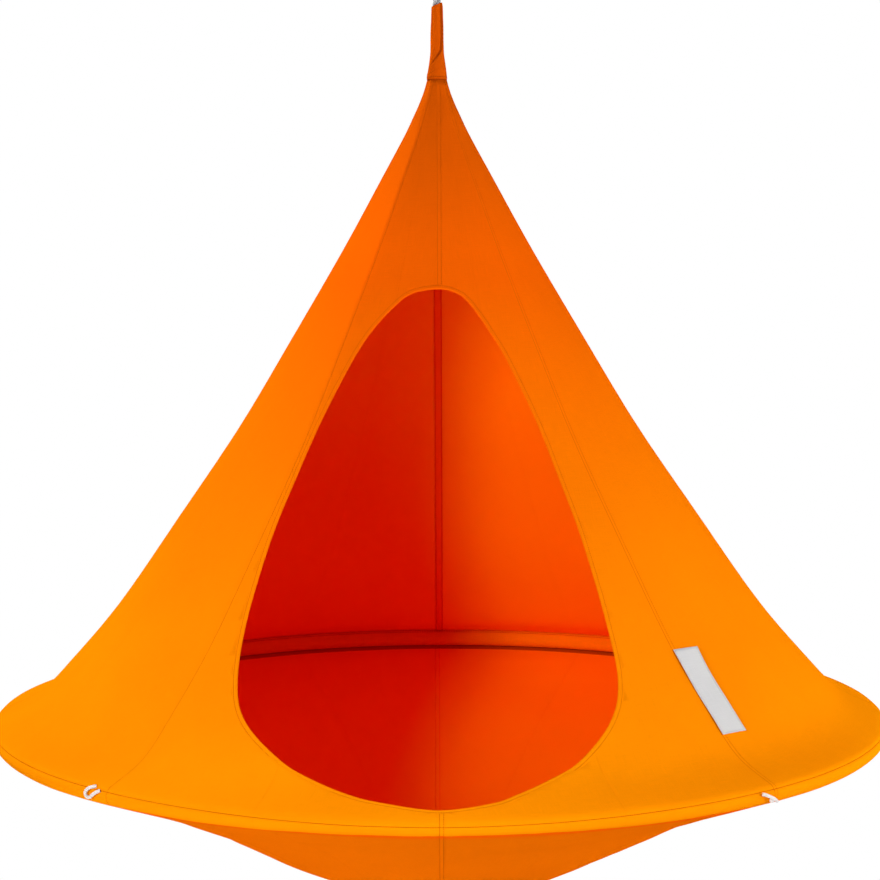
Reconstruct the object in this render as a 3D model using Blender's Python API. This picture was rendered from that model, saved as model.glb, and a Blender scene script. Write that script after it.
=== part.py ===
"""A hanging tent: a cone of cloth over a round tube ring, hung from the ceiling by one rope.

The origin is the centre of the ceiling plate's top face. +Z is up and the door faces -Y.
Heights on the cloth are measured from the middle plane of the ring, and azimuth 0 is the
middle of the door, with +X at 90 degrees.
"""

import math

import bmesh
import bpy
from mathutils import Matrix, Vector

# Gaps between pieces
FIT = 0.0003
RUNNING = 0.0004

# Whole object: from the ceiling to the ring's middle plane, and the bare rope over the neck
RING_DROP = 1.5125
ROPE_SHOWN = 0.0328

# Ceiling plate
PLATE_RADIUS = 0.045
PLATE_THICKNESS = 0.006
SCREW_COUNT = 4
SCREW_CIRCLE_RADIUS = 0.033
SCREW_HOLE_RADIUS = 0.0028

# Swivel under the plate
HOUSING_RADIUS = 0.019
HOUSING_HEIGHT = 0.026
HOUSING_WALL = 0.005
HOUSING_FLOOR = 0.006
STEM_RADIUS = 0.005
WASHER_THICKNESS = 0.002
NUT_HEIGHT = 0.008
EYE_ROD_RADIUS = 0.005
EYE_HOLE_RADIUS = 0.014
EYE_DROP = 0.0022

# Carabiner: an oval of round rod with a sprung gate
CARABINER_ROD_RADIUS = 0.005
CARABINER_BOW_RADIUS = 0.015
CARABINER_INNER_LENGTH = 0.080
GATE_RADIUS = 0.0042
GATE_LENGTH = 0.041
GATE_TAIL_THICKNESS = 0.0048
GATE_PIN_RADIUS = 0.0015
ROD_END_STRAIGHT = 0.001
NOSE_GAP = 0.0006
EAR_THICKNESS = 0.0020
EAR_RADIUS = 0.0042
EAR_SINK = 0.003
KNUCKLE_GAP = 0.0018

# Rope, its eye and its splice
ROPE_RADIUS = 0.007
THIMBLE_HOLE_RADIUS = 0.014
THIMBLE_WALL = 0.0012
EYE_THROAT_DROP = 0.055
EYE_LEG_STRAIGHT = 0.008
SPLICE_LENGTH = 0.050
SPLICE_COVER = 0.0014

# Plate inside the top of the cone, and the rope's stopper knot under it
SPREADER_BELOW_TIP = 0.0635
SPREADER_THICKNESS = 0.005
KNOT_RADIUS = 0.021
KNOT_LENGTH = 0.042
KNOT_WRAPS = 3
TAIL_LENGTH = 0.030

# Cloth
CLOTH = 0.0015
NECK_RADIUS = 0.0165
CONE_OUTLINE = (
    (1.0, 0.0),
    (0.973, 0.0125),
    (0.922, 0.0463),
    (0.847, 0.1055),
    (0.735, 0.1955),
    (0.595, 0.3155),
    (0.455, 0.4385),
    (0.314, 0.5785),
    (0.174, 0.7210),
    (0.081, 0.8363),
    (0.029, 0.9118),
    (0.0, 1.0),
)
CONE_ROWS = 12
CONE_COLUMNS = 4
FACET_FADE = 1.5
SHOULDER_ANGLE = 59.0
SHOULDER_ROWS = 3

# Neck sleeve over the rope: (height above its seam, outer radius)
NECK_WALL = 0.0012
NECK_OUTLINE = (
    (0.0, 0.0172),
    (0.010, 0.0168),
    (0.025, 0.0135),
    (0.041, 0.0117),
    (0.056, 0.0115),
    (0.075, 0.0126),
    (0.098, 0.0107),
    (0.113, 0.0098),
    (0.125, 0.0090),
)
NECK_SIDES = 12
NECK_TWIST = 20.0
NECK_OVAL = 0.05
NECK_TOP_SLANT = 0.0035

# Seams: the two beside the door lean towards it with height
FRONT_SEAM_TOP = 38.0
FRONT_SEAM_RIM = 41.0
SEAM_TAPE_WIDTH = 0.014
SEAM_TAPE_THICKNESS = 0.0012
SEAM_TAPE_LIFT = 0.030

# Door: half widths to the left and right of the centre seam, by height
DOOR_TOP = 0.738
DOOR_BOTTOM = 0.020
DOOR_LEFT = (
    (0.731, 0.041),
    (0.712, 0.068),
    (0.673, 0.105),
    (0.625, 0.137),
    (0.532, 0.186),
    (0.441, 0.2265),
    (0.353, 0.262),
    (0.239, 0.295),
    (0.158, 0.3045),
    (0.109, 0.289),
    (0.066, 0.233),
    (0.046, 0.183),
    (0.032, 0.126),
    (0.0255, 0.075),
)
DOOR_RIGHT = (
    (0.731, 0.031),
    (0.712, 0.053),
    (0.673, 0.081),
    (0.625, 0.110),
    (0.532, 0.155),
    (0.441, 0.191),
    (0.353, 0.223),
    (0.239, 0.255),
    (0.160, 0.269),
    (0.110, 0.254),
    (0.066, 0.206),
    (0.046, 0.158),
    (0.032, 0.108),
    (0.0255, 0.075),
)
DOOR_POINTS = 56
HEM_WIDTH = 0.009
HEM_PROUD = 0.0007

# Ring of four tubes joined by inner ferrules, in four cloth sleeves
RING_RADIUS = 0.742
TUBE_RADIUS = 0.0125
TUBE_WALL = 0.0016
TUBE_SIDES = 8
FERRULE_WALL = 0.0016
FERRULE_LENGTH = 0.080
SLEEVE_WALL = 0.0012
SLEEVE_EASE = 0.0006
SLEEVE_SIDES = 8
SLEEVE_SLIT = 0.003

# Floor: a shallow cone under the ring
FLOOR_DEPTH = 0.3395
FLOOR_EDGE_ANGLE = 63.4
FLOOR_OUTLINE = ((1.0, 0.0), (0.667, 0.304), (0.333, 0.705), (0.0, 1.0))
FLOOR_ROWS = 5
FLOOR_CENTRE_HOLE = 0.022
PATCH_RADIUS = 0.045

# White ties at the sleeve slits
TIE_RADIUS = 0.0018
TIE_SPREAD = 0.007
TIE_TOP_ANGLE = 35.0
TIE_BOTTOM_ANGLE = -70.0

# Blank tag on the seam to the right of the door
TAG_WIDTH = 0.049
TAG_TOP = 0.1895
TAG_BOTTOM = 0.0745
TAG_THICKNESS = 0.0008
TAG_STAND_OFF = 0.0035

# Derived places
RING_Z = -RING_DROP
SLEEVE_RADIUS = TUBE_RADIUS + SLEEVE_EASE + SLEEVE_WALL
WRAP_RADIUS = SLEEVE_RADIUS + 0.0005
HOUSING_TOP = -PLATE_THICKNESS - FIT
HOUSING_BOTTOM = HOUSING_TOP - HOUSING_HEIGHT
WASHER_BOTTOM = HOUSING_BOTTOM + HOUSING_FLOOR + FIT
NUT_BOTTOM = WASHER_BOTTOM + WASHER_THICKNESS + FIT
EYE_Z = HOUSING_BOTTOM - EYE_DROP - EYE_HOLE_RADIUS - 2 * EYE_ROD_RADIUS
EYE_PIVOT = EYE_Z - EYE_HOLE_RADIUS - EYE_ROD_RADIUS
BOW_TOP = EYE_PIVOT + EYE_ROD_RADIUS + FIT
BOW_BOTTOM = BOW_TOP - CARABINER_INNER_LENGTH
ROPE_PIVOT = BOW_BOTTOM - CARABINER_ROD_RADIUS
THIMBLE_Z = BOW_BOTTOM + FIT - THIMBLE_HOLE_RADIUS
CARABINER_HALF_WIDTH = CARABINER_BOW_RADIUS + CARABINER_ROD_RADIUS
ROD_END_Z = BOW_BOTTOM + CARABINER_BOW_RADIUS + ROD_END_STRAIGHT
GATE_PIN_Z = ROD_END_Z + KNUCKLE_GAP + EAR_RADIUS
NOSE_Z = GATE_PIN_Z + GATE_LENGTH + NOSE_GAP
THROAT_Z = THIMBLE_Z - EYE_THROAT_DROP
SPLICE_TOP = THROAT_Z - FIT
SPLICE_BOTTOM = SPLICE_TOP - SPLICE_LENGTH
NECK_LENGTH = NECK_OUTLINE[-1][0]
CONE_HEIGHT = RING_DROP + SPLICE_BOTTOM - ROPE_SHOWN - NECK_LENGTH
SPREADER_HEIGHT = CONE_HEIGHT - SPREADER_BELOW_TIP
SEAMS = (0, FRONT_SEAM_RIM, 90, 135, 180, 225, 270, 360 - FRONT_SEAM_RIM)
GORE_NAMES = (
    "front_right", "side_right_front", "side_right_back", "back_right",
    "back_left", "side_left_back", "side_left_front", "front_left",
)


def material(name, colour, roughness, metallic=0.0):
    """A Principled material, made once for each name."""
    found = bpy.data.materials.get(name)
    if found:
        return found
    made = bpy.data.materials.new(name)
    made.use_nodes = True
    shader = made.node_tree.nodes["Principled BSDF"]
    shader.inputs["Base Color"].default_value = (*colour, 1)
    shader.inputs["Roughness"].default_value = roughness
    shader.inputs["Metallic"].default_value = metallic
    made.diffuse_color = (*colour, 1)
    return made


def steel():
    return material("steel", (0.62, 0.63, 0.65), 0.28, 1.0)


def aluminium():
    return material("aluminium", (0.72, 0.73, 0.75), 0.35, 1.0)


def rope_yarn():
    return material("rope_yarn", (0.78, 0.79, 0.82), 0.8)


def orange_cloth():
    return material("orange_cloth", (1.0, 0.22, 0.0), 0.75)


def white_tape():
    return material("white_tape", (0.85, 0.83, 0.8), 0.7)


def place(name, bm, finish, smooth=40.0):
    """Turns a bmesh into a named object with outward faces and one material."""
    bmesh.ops.recalc_face_normals(bm, faces=bm.faces)
    mesh = bpy.data.meshes.new(name)
    bm.to_mesh(mesh)
    bm.free()
    mesh.materials.append(finish)
    mesh.shade_smooth()
    mesh.set_sharp_from_angle(angle=math.radians(smooth))
    made = bpy.data.objects.new(name, mesh)
    bpy.context.collection.objects.link(made)
    return made


def turned(name, outline, sides, finish, location=(0, 0, 0)):
    """A body of revolution about Z from a closed outline of (radius, height) points."""
    bm = bmesh.new()
    verts = [bm.verts.new((r, 0, z)) for r, z in outline]
    edges = [bm.edges.new(pair) for pair in zip(verts, verts[1:] + verts[:1])]
    bmesh.ops.spin(
        bm, geom=verts + edges, cent=(0, 0, 0), axis=(0, 0, 1),
        angle=math.tau, steps=sides, use_merge=True, use_duplicate=False,
    )
    bmesh.ops.remove_doubles(bm, verts=bm.verts, dist=0.00001)
    made = place(name, bm, finish)
    made.location = location
    return made


def cylinder(name, radius, length, sides, finish, location, axis="Z"):
    """A plain round bar along Z or X."""
    bm = bmesh.new()
    turn = Matrix.Rotation(math.pi / 2, 4, "Y") if axis == "X" else Matrix.Identity(4)
    bmesh.ops.create_cone(
        bm, cap_ends=True, segments=sides, radius1=radius, radius2=radius,
        depth=length, matrix=turn,
    )
    made = place(name, bm, finish)
    made.location = location
    return made


def lug(name, radius, thickness, reach, finish, location, up=1):
    """A flat plate with one round end about its location, reaching up or down by a length."""
    outline = [(radius * math.cos(math.pi * i / 12), -radius * math.sin(math.pi * i / 12)) for i in range(13)]
    outline += [(-radius, reach), (radius, reach)]
    bm = bmesh.new()
    loops = [
        [bm.verts.new((side * thickness / 2, y, up * z)) for y, z in outline]
        for side in (-1, 1)
    ]
    for loop in loops:
        bm.faces.new(loop)
    for i in range(len(outline)):
        bm.faces.new((loops[0][i - 1], loops[0][i], loops[1][i], loops[1][i - 1]))
    made = place(name, bm, finish)
    made.location = location
    return made


def bent_bar(name, points, radius, finish, closed=False, resolution=3):
    """A round bar or cord along a list of points, with capped ends unless it is closed."""
    curve = bpy.data.curves.new(name, "CURVE")
    curve.dimensions = "3D"
    curve.bevel_depth = radius
    curve.bevel_resolution = resolution
    curve.use_fill_caps = not closed
    spline = curve.splines.new("POLY")
    spline.points.add(len(points) - 1)
    for target, point in zip(spline.points, points):
        target.co = (*point, 1)
    spline.use_cyclic_u = closed
    curve.materials.append(finish)
    made = bpy.data.objects.new(name, curve)
    bpy.context.collection.objects.link(made)
    return made


def as_mesh(curve_object):
    """Replaces a curve object by a mesh object of the same name."""
    name = curve_object.name
    mesh = bpy.data.meshes.new_from_object(curve_object)
    finish = curve_object.data.materials[0]
    bpy.data.objects.remove(curve_object)
    bm = bmesh.new()
    bm.from_mesh(mesh)
    bmesh.ops.remove_doubles(bm, verts=bm.verts, dist=0.00001)
    bpy.data.meshes.remove(mesh)
    return place(name, bm, finish)


def combine(target, tool, operation):
    """Joins or cuts the target with a hidden tool object."""
    step = target.modifiers.new(operation.lower(), "BOOLEAN")
    step.operation = operation
    step.solver = "EXACT"
    step.object = tool
    tool.hide_render = True
    tool.display_type = "WIRE"


def skin(name, rings, finish, ends="quads", smooth=40.0):
    """A solid over closed rings of points. Its ends are strips of quads, or it meets itself.

    With quads a ring runs along one face and back along the other, so each end is a thin strip.
    """
    bm = bmesh.new()
    loops = [[bm.verts.new(point) for point in ring] for ring in rings]
    count = len(loops[0])
    pairs = list(zip(loops, loops[1:]))
    if ends == "joined":
        pairs.append((loops[-1], loops[0]))
    for low, high in pairs:
        for i in range(count):
            j = (i + 1) % count
            bm.faces.new((low[i], low[j], high[j], high[i]))
    if ends == "quads":
        for loop in (loops[0], loops[-1]):
            for i in range(count // 2 - 1):
                bm.faces.new((loop[i], loop[i + 1], loop[-2 - i], loop[-1 - i]))
    return place(name, bm, finish, smooth)


def smooth_through(points, steps):
    """Points on a smooth curve through the given (x, y) points, with the given steps in each span."""
    out = []
    last = len(points) - 1
    for i in range(last):
        before, start = points[max(i - 1, 0)], points[i]
        end, after = points[i + 1], points[min(i + 2, last)]
        for step in range(steps):
            t = step / steps
            out.append(tuple(
                0.5 * (2 * start[k] + (end[k] - before[k]) * t
                       + (2 * before[k] - 5 * start[k] + 4 * end[k] - after[k]) * t ** 2
                       + (3 * start[k] - before[k] - 3 * end[k] + after[k]) * t ** 3)
                for k in range(2)
            ))
    out.append(tuple(points[-1]))
    return out


def evenly(points, count):
    """The given number of points at equal steps along a line of (x, y) points."""
    along = [0.0]
    for a, b in zip(points, points[1:]):
        along.append(along[-1] + math.dist(a, b))
    out = []
    i = 0
    for step in range(count):
        want = along[-1] * step / (count - 1)
        while i < len(points) - 2 and along[i + 1] < want:
            i += 1
        t = (want - along[i]) / (along[i + 1] - along[i])
        out.append(tuple(points[i][k] + (points[i + 1][k] - points[i][k]) * t for k in range(2)))
    return out


def around_tube(radius, angle):
    """A point (radius from the tent's axis, height) on a circle round the ring's tube."""
    turn = math.radians(angle)
    return RING_RADIUS + radius * math.cos(turn), radius * math.sin(turn)


def cone_rows():
    """The cone's seam line as rows of ((outer radius, height), (inner radius, height)), top first."""
    edge_radius, edge_height = around_tube(WRAP_RADIUS + CLOTH, SHOULDER_ANGLE)
    line = [
        (NECK_RADIUS + (edge_radius - NECK_RADIUS) * across,
         edge_height + (CONE_HEIGHT - FIT - edge_height) * up)
        for up, across in CONE_OUTLINE
    ]
    outer = evenly(smooth_through(line, 8), CONE_ROWS)
    rows = []
    for i, here in enumerate(outer):
        before, after = outer[max(i - 1, 0)], outer[min(i + 1, CONE_ROWS - 1)]
        run = Vector((after[0] - before[0], after[1] - before[1])).normalized()
        inner = (here[0] + run.y * CLOTH, here[1] - run.x * CLOTH)
        rows.append((here, inner))
    rows[0] = (rows[0][0], (rows[0][1][0], rows[0][0][1]))
    rows[-1] = (outer[-1], around_tube(WRAP_RADIUS, SHOULDER_ANGLE))
    for step in range(1, SHOULDER_ROWS + 1):
        angle = SHOULDER_ANGLE * (1 - step / SHOULDER_ROWS)
        rows.append((around_tube(WRAP_RADIUS + CLOTH, angle), around_tube(WRAP_RADIUS, angle)))
    return rows


CONE = cone_rows()


def cone_radius(height, side=0):
    """The seam radius at a height, on the outer (0) or inner (1) face of the cone."""
    for upper, lower in zip(CONE, CONE[1:]):
        (r1, z1), (r2, z2) = upper[side], lower[side]
        if z2 <= height <= z1:
            return r1 + (r2 - r1) * (z1 - height) / (z1 - z2)
    return CONE[0][side][0] if height > CONE[0][side][1] else CONE[-1][side][0]


def seam_azimuth(index, height):
    """Where a seam is at a height, in degrees. The two seams beside the door lean with height."""
    azimuth = SEAMS[index % 8] + (360 if index >= 8 else 0)
    lean = (FRONT_SEAM_RIM - FRONT_SEAM_TOP) * min(max(height / CONE_HEIGHT, 0), 1)
    if index % 8 == 1:
        azimuth -= lean
    if index % 8 == 7:
        azimuth += lean
    return azimuth


def facet(azimuth, low, high, height):
    """How far the cloth is drawn in between two seams: flat near the top, round at the rim."""
    strength = max(height / CONE_HEIGHT, 0) ** FACET_FADE
    half = math.radians((high - low) / 2)
    off = math.radians(azimuth - (low + high) / 2)
    return (math.cos(half) / math.cos(off)) ** strength


def gore_azimuths(index, height, radius):
    """The columns of a gore: its two edges, the seam tape's edges, and even steps between."""
    low, high = seam_azimuth(index, height), seam_azimuth(index + 1, height)
    edge = math.degrees(FIT / 2 / radius)
    tape = math.degrees(min(SEAM_TAPE_WIDTH / 2 / radius, 0.25))
    inner_low, inner_high = low + tape, high - tape
    steps = [
        inner_low + (inner_high - inner_low) * i / CONE_COLUMNS
        for i in range(CONE_COLUMNS + 1)
    ]
    return [low + edge, *steps, high - edge]


def polar(radius, azimuth, height):
    """A point at a radius, azimuth and height above the ring, in the world frame."""
    turn = math.radians(azimuth)
    return Vector((radius * math.sin(turn), -radius * math.cos(turn), RING_Z + height))


def cone_point(azimuth, row, side, index):
    """A point on a row of the cone, drawn in between the two seams of its gore."""
    radius, height = CONE[row][side]
    top = CONE[row][0][1]
    low, high = seam_azimuth(index, top), seam_azimuth(index + 1, top)
    return polar(radius * facet(azimuth, low, high, top), azimuth, height)


def gore(index):
    """One of the eight cloth panels of the upper cone."""
    rings = []
    for row, (outer, _) in enumerate(CONE):
        azimuths = gore_azimuths(index, outer[1], outer[0])
        front = [cone_point(a, row, 0, index) for a in azimuths]
        back = [cone_point(a, row, 1, index) for a in azimuths]
        rings.append(front + back[::-1])
    return skin(f"upper_panel_{GORE_NAMES[index]}", rings, orange_cloth())


def level_at(height):
    """How many rows down the cone a height is, as a number with a fraction."""
    for row, ((upper, _), (lower, _)) in enumerate(zip(CONE, CONE[1:])):
        if lower[1] <= height <= upper[1]:
            return row + (upper[1] - height) / (upper[1] - lower[1])
    return len(CONE) - 1.0


def behind_seam(index, row):
    """Three points on the inside of the cloth: before a seam, on it and after it."""
    radius, height = CONE[row][0]
    before, after = (index - 1) % 8, index % 8
    return [
        cone_point(gore_azimuths(before, height, radius)[-2], row, 1, before),
        cone_point(seam_azimuth(after, height), row, 1, after),
        cone_point(gore_azimuths(after, height, radius)[1], row, 1, after),
    ]


def seam_tape(index, name, lowest):
    """The load-carrying tape inside a seam, from the spreader plate down towards the ring."""
    start, end = level_at(SPREADER_HEIGHT - 0.02), level_at(lowest)
    levels = [start, *range(math.ceil(start), math.floor(end) + 1), end]
    rings = []
    for level in levels:
        row = min(int(level), len(CONE) - 2)
        points = [
            high.lerp(low, level - row)
            for high, low in zip(behind_seam(index, row), behind_seam(index, row + 1))
        ]
        faces = []
        for depth in (FIT, FIT + SEAM_TAPE_THICKNESS):
            inward = [Vector((p.x, p.y, 0)).normalized() * depth for p in points]
            faces.append([point - step for point, step in zip(points, inward)])
        rings.append(faces[0] + faces[1][::-1])
    return skin(name, rings, orange_cloth())


def door_outline():
    """The door's edge as (x, height above the ring) points, clockwise from the top."""
    right = [(width, height) for height, width in DOOR_RIGHT]
    left = [(-width, height) for height, width in reversed(DOOR_LEFT)]
    corners = [(0.0, DOOR_TOP), *right, (0.0, DOOR_BOTTOM), *left, (0.0, DOOR_TOP)]
    wrapped = [corners[-2], *corners, corners[1]]
    smooth = smooth_through(wrapped, 8)[8:-8]
    return evenly(smooth, DOOR_POINTS + 1)[:-1]


def cone_front(x, height):
    """The y of the cone's outer face at an x and height on the door side."""
    azimuth = 0.0
    radius = cone_radius(height)
    for _ in range(12):
        index = 0 if x >= 0 else 7
        low, high = seam_azimuth(index, height), seam_azimuth(index + 1, height)
        if x < 0:
            low, high = low - 360, high - 360
        radius = cone_radius(height) * facet(azimuth, low, high, height)
        azimuth = math.degrees(math.asin(x / radius))
    return -radius * math.cos(math.radians(azimuth))


def cone_slope(height):
    """The sine of the cone's steepness at a height."""
    step = 0.01
    run = cone_radius(height - step) - cone_radius(height + step)
    return 2 * step / math.hypot(2 * step, run)


def widened(outline, width):
    """The door's outline moved outwards by a width measured along the cloth."""
    out = []
    count = len(outline)
    for i, (x, height) in enumerate(outline):
        (x0, h0), (x1, h1) = outline[i - 1], outline[(i + 1) % count]
        run = Vector((x1 - x0, h1 - h0)).normalized()
        across = math.sqrt(max(1 - (x / cone_radius(height)) ** 2, 0.1))
        out.append((x - run.y * width * across, height + run.x * width * cone_slope(height)))
    return out


def door_cutter(outline):
    """A prism along Y that cuts the doorway and the hem's seat out of the front panels."""
    near, far = -1.0, -0.12
    rings = [
        [Vector((x, y, RING_Z + height)) for x, height in outline] for y in (near, far)
    ]
    bm = bmesh.new()
    loops = [[bm.verts.new(point) for point in ring] for ring in rings]
    for loop in loops:
        bm.faces.new(loop)
    for i in range(len(outline)):
        bm.faces.new((loops[0][i - 1], loops[0][i], loops[1][i], loops[1][i - 1]))
    return place("door_cutter", bm, orange_cloth())


def door_hem(inner, outer):
    """The turned hem round the doorway: a flat ring of doubled cloth."""
    rings = []
    for (x0, h0), (x1, h1) in zip(inner, outer):
        y0, y1 = cone_front(x0, h0), cone_front(x1, h1)
        deep = CLOTH / cone_slope((h0 + h1) / 2) + HEM_PROUD
        rings.append([
            Vector((x0, y0 - HEM_PROUD, RING_Z + h0)),
            Vector((x1, y1 - HEM_PROUD, RING_Z + h1)),
            Vector((x1, y1 + deep, RING_Z + h1)),
            Vector((x0, y0 + deep, RING_Z + h0)),
        ])
    return skin("door_hem", rings, orange_cloth(), ends="joined")


def neck_sleeve():
    """The gathered cloth tube that hides the rope above the cone, with a slanted top edge."""
    def ring(height, radius, slant):
        points = []
        for i in range(NECK_SIDES):
            azimuth = 360 * i / NECK_SIDES
            lobe = math.cos(2 * math.radians(azimuth) - NECK_TWIST * height)
            drawn = radius * (1 + NECK_OVAL * lobe)
            tilt = slant * math.sin(math.radians(azimuth))
            points.append(polar(drawn, azimuth, CONE_HEIGHT + FIT + height + tilt))
        return points

    top = len(NECK_OUTLINE) - 1
    outer = [
        ring(height, radius, NECK_TOP_SLANT if i == top else 0)
        for i, (height, radius) in enumerate(NECK_OUTLINE)
    ]
    inner = [
        ring(height, radius - NECK_WALL, NECK_TOP_SLANT if i == top else 0)
        for i, (height, radius) in enumerate(NECK_OUTLINE)
    ]
    return skin("neck_sleeve", outer + inner[::-1], orange_cloth(), ends="joined")


def rim_azimuths(index):
    """The columns of a gore at the rim, shared by all that follows the ring."""
    low, high = SEAMS[index], SEAMS[(index + 1) % 8] or 360
    tape = math.degrees(SEAM_TAPE_WIDTH / 2 / CONE[-1][0][0])
    steps = [
        low + tape + (high - low - 2 * tape) * i / CONE_COLUMNS
        for i in range(CONE_COLUMNS + 1)
    ]
    return [low, *steps, high]


def ring_section(name, azimuths, radius, wall, sides, end_gap, finish):
    """A hollow length of tube that follows the ring through the given azimuths."""
    rings = []
    last = len(azimuths) - 1
    for i, azimuth in enumerate(azimuths):
        shift = math.degrees(end_gap / RING_RADIUS)
        azimuth += shift if i == 0 else -shift if i == last else 0
        loops = []
        for size in (radius, radius - wall):
            loops.append([
                polar(*swap(around_tube(size, 360 * (k + 0.5) / sides), azimuth))
                for k in range(sides)
            ])
        rings.append(loops)
    outer = [loops[0] for loops in rings]
    inner = [loops[1] for loops in rings]
    return skin(name, outer + inner[::-1], finish, ends="joined")


def swap(radius_height, azimuth):
    """Puts an azimuth between a radius and a height."""
    radius, height = radius_height
    return radius, azimuth, height


def on_ring(azimuth):
    """How far a straight tube between two columns lies inside the ring's circle, as a share."""
    wrapped = azimuth % 360
    for index in range(8):
        columns = rim_azimuths(index)
        for low, high in zip(columns, columns[1:]):
            if low <= wrapped <= high:
                half = math.radians((high - low) / 2)
                off = math.radians(wrapped - (low + high) / 2)
                return math.cos(half) / math.cos(off)
    return 1.0


def ring_ferrule(name, seam):
    """A short inner tube that joins two of the ring's tubes under a slit."""
    radius = TUBE_RADIUS - TUBE_WALL - FIT
    half = math.degrees(FERRULE_LENGTH / 2 / RING_RADIUS)
    tape = math.degrees(SEAM_TAPE_WIDTH / 2 / CONE[-1][0][0])
    outer, inner = [], []
    for azimuth in (seam - half, seam - tape, seam, seam + tape, seam + half):
        shift = RING_RADIUS * (on_ring(azimuth) - 1)
        for size, loops in ((radius, outer), (radius - FERRULE_WALL, inner)):
            loop = []
            for k in range(TUBE_SIDES):
                reach, height = around_tube(size, 360 * (k + 0.5) / TUBE_SIDES)
                loop.append(polar(reach + shift, azimuth, height))
            loops.append(loop)
    return skin(name, outer + inner[::-1], aluminium(), ends="joined")


def floor_rows():
    """The floor's outline as rows of (lower face, upper face) points, rim first."""
    edge_radius, edge_height = around_tube(WRAP_RADIUS + CLOTH, -FLOOR_EDGE_ANGLE)
    line = [
        (edge_radius * across, edge_height - (FLOOR_DEPTH + edge_height) * down)
        for across, down in FLOOR_OUTLINE
    ]
    smooth = smooth_through(line, 6)
    end = next(i for i, point in enumerate(smooth) if point[0] < FLOOR_CENTRE_HOLE)
    before, after = smooth[end - 1], smooth[end]
    t = (before[0] - FLOOR_CENTRE_HOLE) / (before[0] - after[0])
    stop = (FLOOR_CENTRE_HOLE, before[1] + (after[1] - before[1]) * t)
    lower = evenly([*smooth[:end], stop], FLOOR_ROWS + 1)
    rows = []
    for i, here in enumerate(lower):
        first, last = lower[max(i - 1, 0)], lower[min(i + 1, FLOOR_ROWS)]
        run = Vector((last[0] - first[0], last[1] - first[1])).normalized()
        rows.append((here, (here[0] + run.y * CLOTH, here[1] - run.x * CLOTH)))
    rows[0] = (lower[0], around_tube(WRAP_RADIUS, -FLOOR_EDGE_ANGLE))
    return rows


def floor_panel(index, rows):
    """One of the eight cloth panels of the floor."""
    rings = []
    for lower, upper in rows:
        azimuths = rim_azimuths(index)
        edge = math.degrees(FIT / 2 / lower[0])
        azimuths[0] += edge
        azimuths[-1] -= edge
        under = [polar(lower[0], a, lower[1]) for a in azimuths]
        over = [polar(upper[0], a, upper[1]) for a in azimuths]
        rings.append(under + over[::-1])
    return skin(f"floor_panel_{GORE_NAMES[index]}", rings, orange_cloth())


def floor_patch(rows):
    """The round patch that covers the point where the floor's seams meet."""
    (inner_radius, inner_height) = rows[-1][1]
    (outer_radius, outer_height) = rows[-2][1]
    slope = (outer_height - inner_height) / (outer_radius - inner_radius)
    centre = inner_height - slope * inner_radius + FIT * 2
    outline = [
        (0, centre),
        (PATCH_RADIUS, centre + slope * PATCH_RADIUS),
        (PATCH_RADIUS, centre + slope * PATCH_RADIUS + CLOTH),
        (0, centre + CLOTH),
    ]
    return turned("floor_patch", outline, 24, orange_cloth(), (0, 0, RING_Z))


def tie(name, seam):
    """A short white cord that closes a slit between two sleeves, looped under the rim."""
    reach = WRAP_RADIUS + CLOTH + FIT + TIE_RADIUS
    points = []
    steps = 5
    for i in range(-steps, steps + 1):
        up = abs(i) / steps
        angle = TIE_BOTTOM_ANGLE + (TIE_TOP_ANGLE - TIE_BOTTOM_ANGLE) * up
        sideways = math.degrees(math.copysign(TIE_SPREAD * up, i) / RING_RADIUS)
        radius, height = around_tube(reach, angle)
        points.append(polar(radius, seam + sideways, height))
    return bent_bar(name, points, TIE_RADIUS, white_tape(), resolution=2)


def blank_tag():
    """The blank white tag, sewn by one long edge into the seam to the right of the door."""
    rows = 7
    rings = []
    for i in range(rows):
        height = TAG_TOP + (TAG_BOTTOM - TAG_TOP) * i / (rows - 1)
        radius = cone_radius(height)
        seam = seam_azimuth(1, height)
        width = math.degrees(TAG_WIDTH / radius)
        front, back = [], []
        for step in range(4):
            share = step / 3
            lift = FIT * 2 + TAG_STAND_OFF * share
            azimuth = seam + width * share
            back.append(polar(radius + lift, azimuth, height))
            front.append(polar(radius + lift + TAG_THICKNESS / cone_slope(height), azimuth, height))
        rings.append(front + back[::-1])
    return skin("blank_tag", rings, white_tape())


def ceiling_plate():
    """The round steel plate that is screwed to the ceiling, with four screw holes."""
    plate = turned(
        "ceiling_plate",
        [(0, 0), (PLATE_RADIUS - 0.001, 0), (PLATE_RADIUS, -0.001),
         (PLATE_RADIUS, -PLATE_THICKNESS), (0, -PLATE_THICKNESS)],
        32, steel(),
    )
    for i in range(SCREW_COUNT):
        turn = math.tau * (i + 0.5) / SCREW_COUNT
        hole = cylinder(
            f"screw_hole_{i}", SCREW_HOLE_RADIUS, 3 * PLATE_THICKNESS, 12, steel(),
            (SCREW_CIRCLE_RADIUS * math.cos(turn), SCREW_CIRCLE_RADIUS * math.sin(turn), 0),
        )
        combine(plate, hole, "DIFFERENCE")
    return plate


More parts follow.
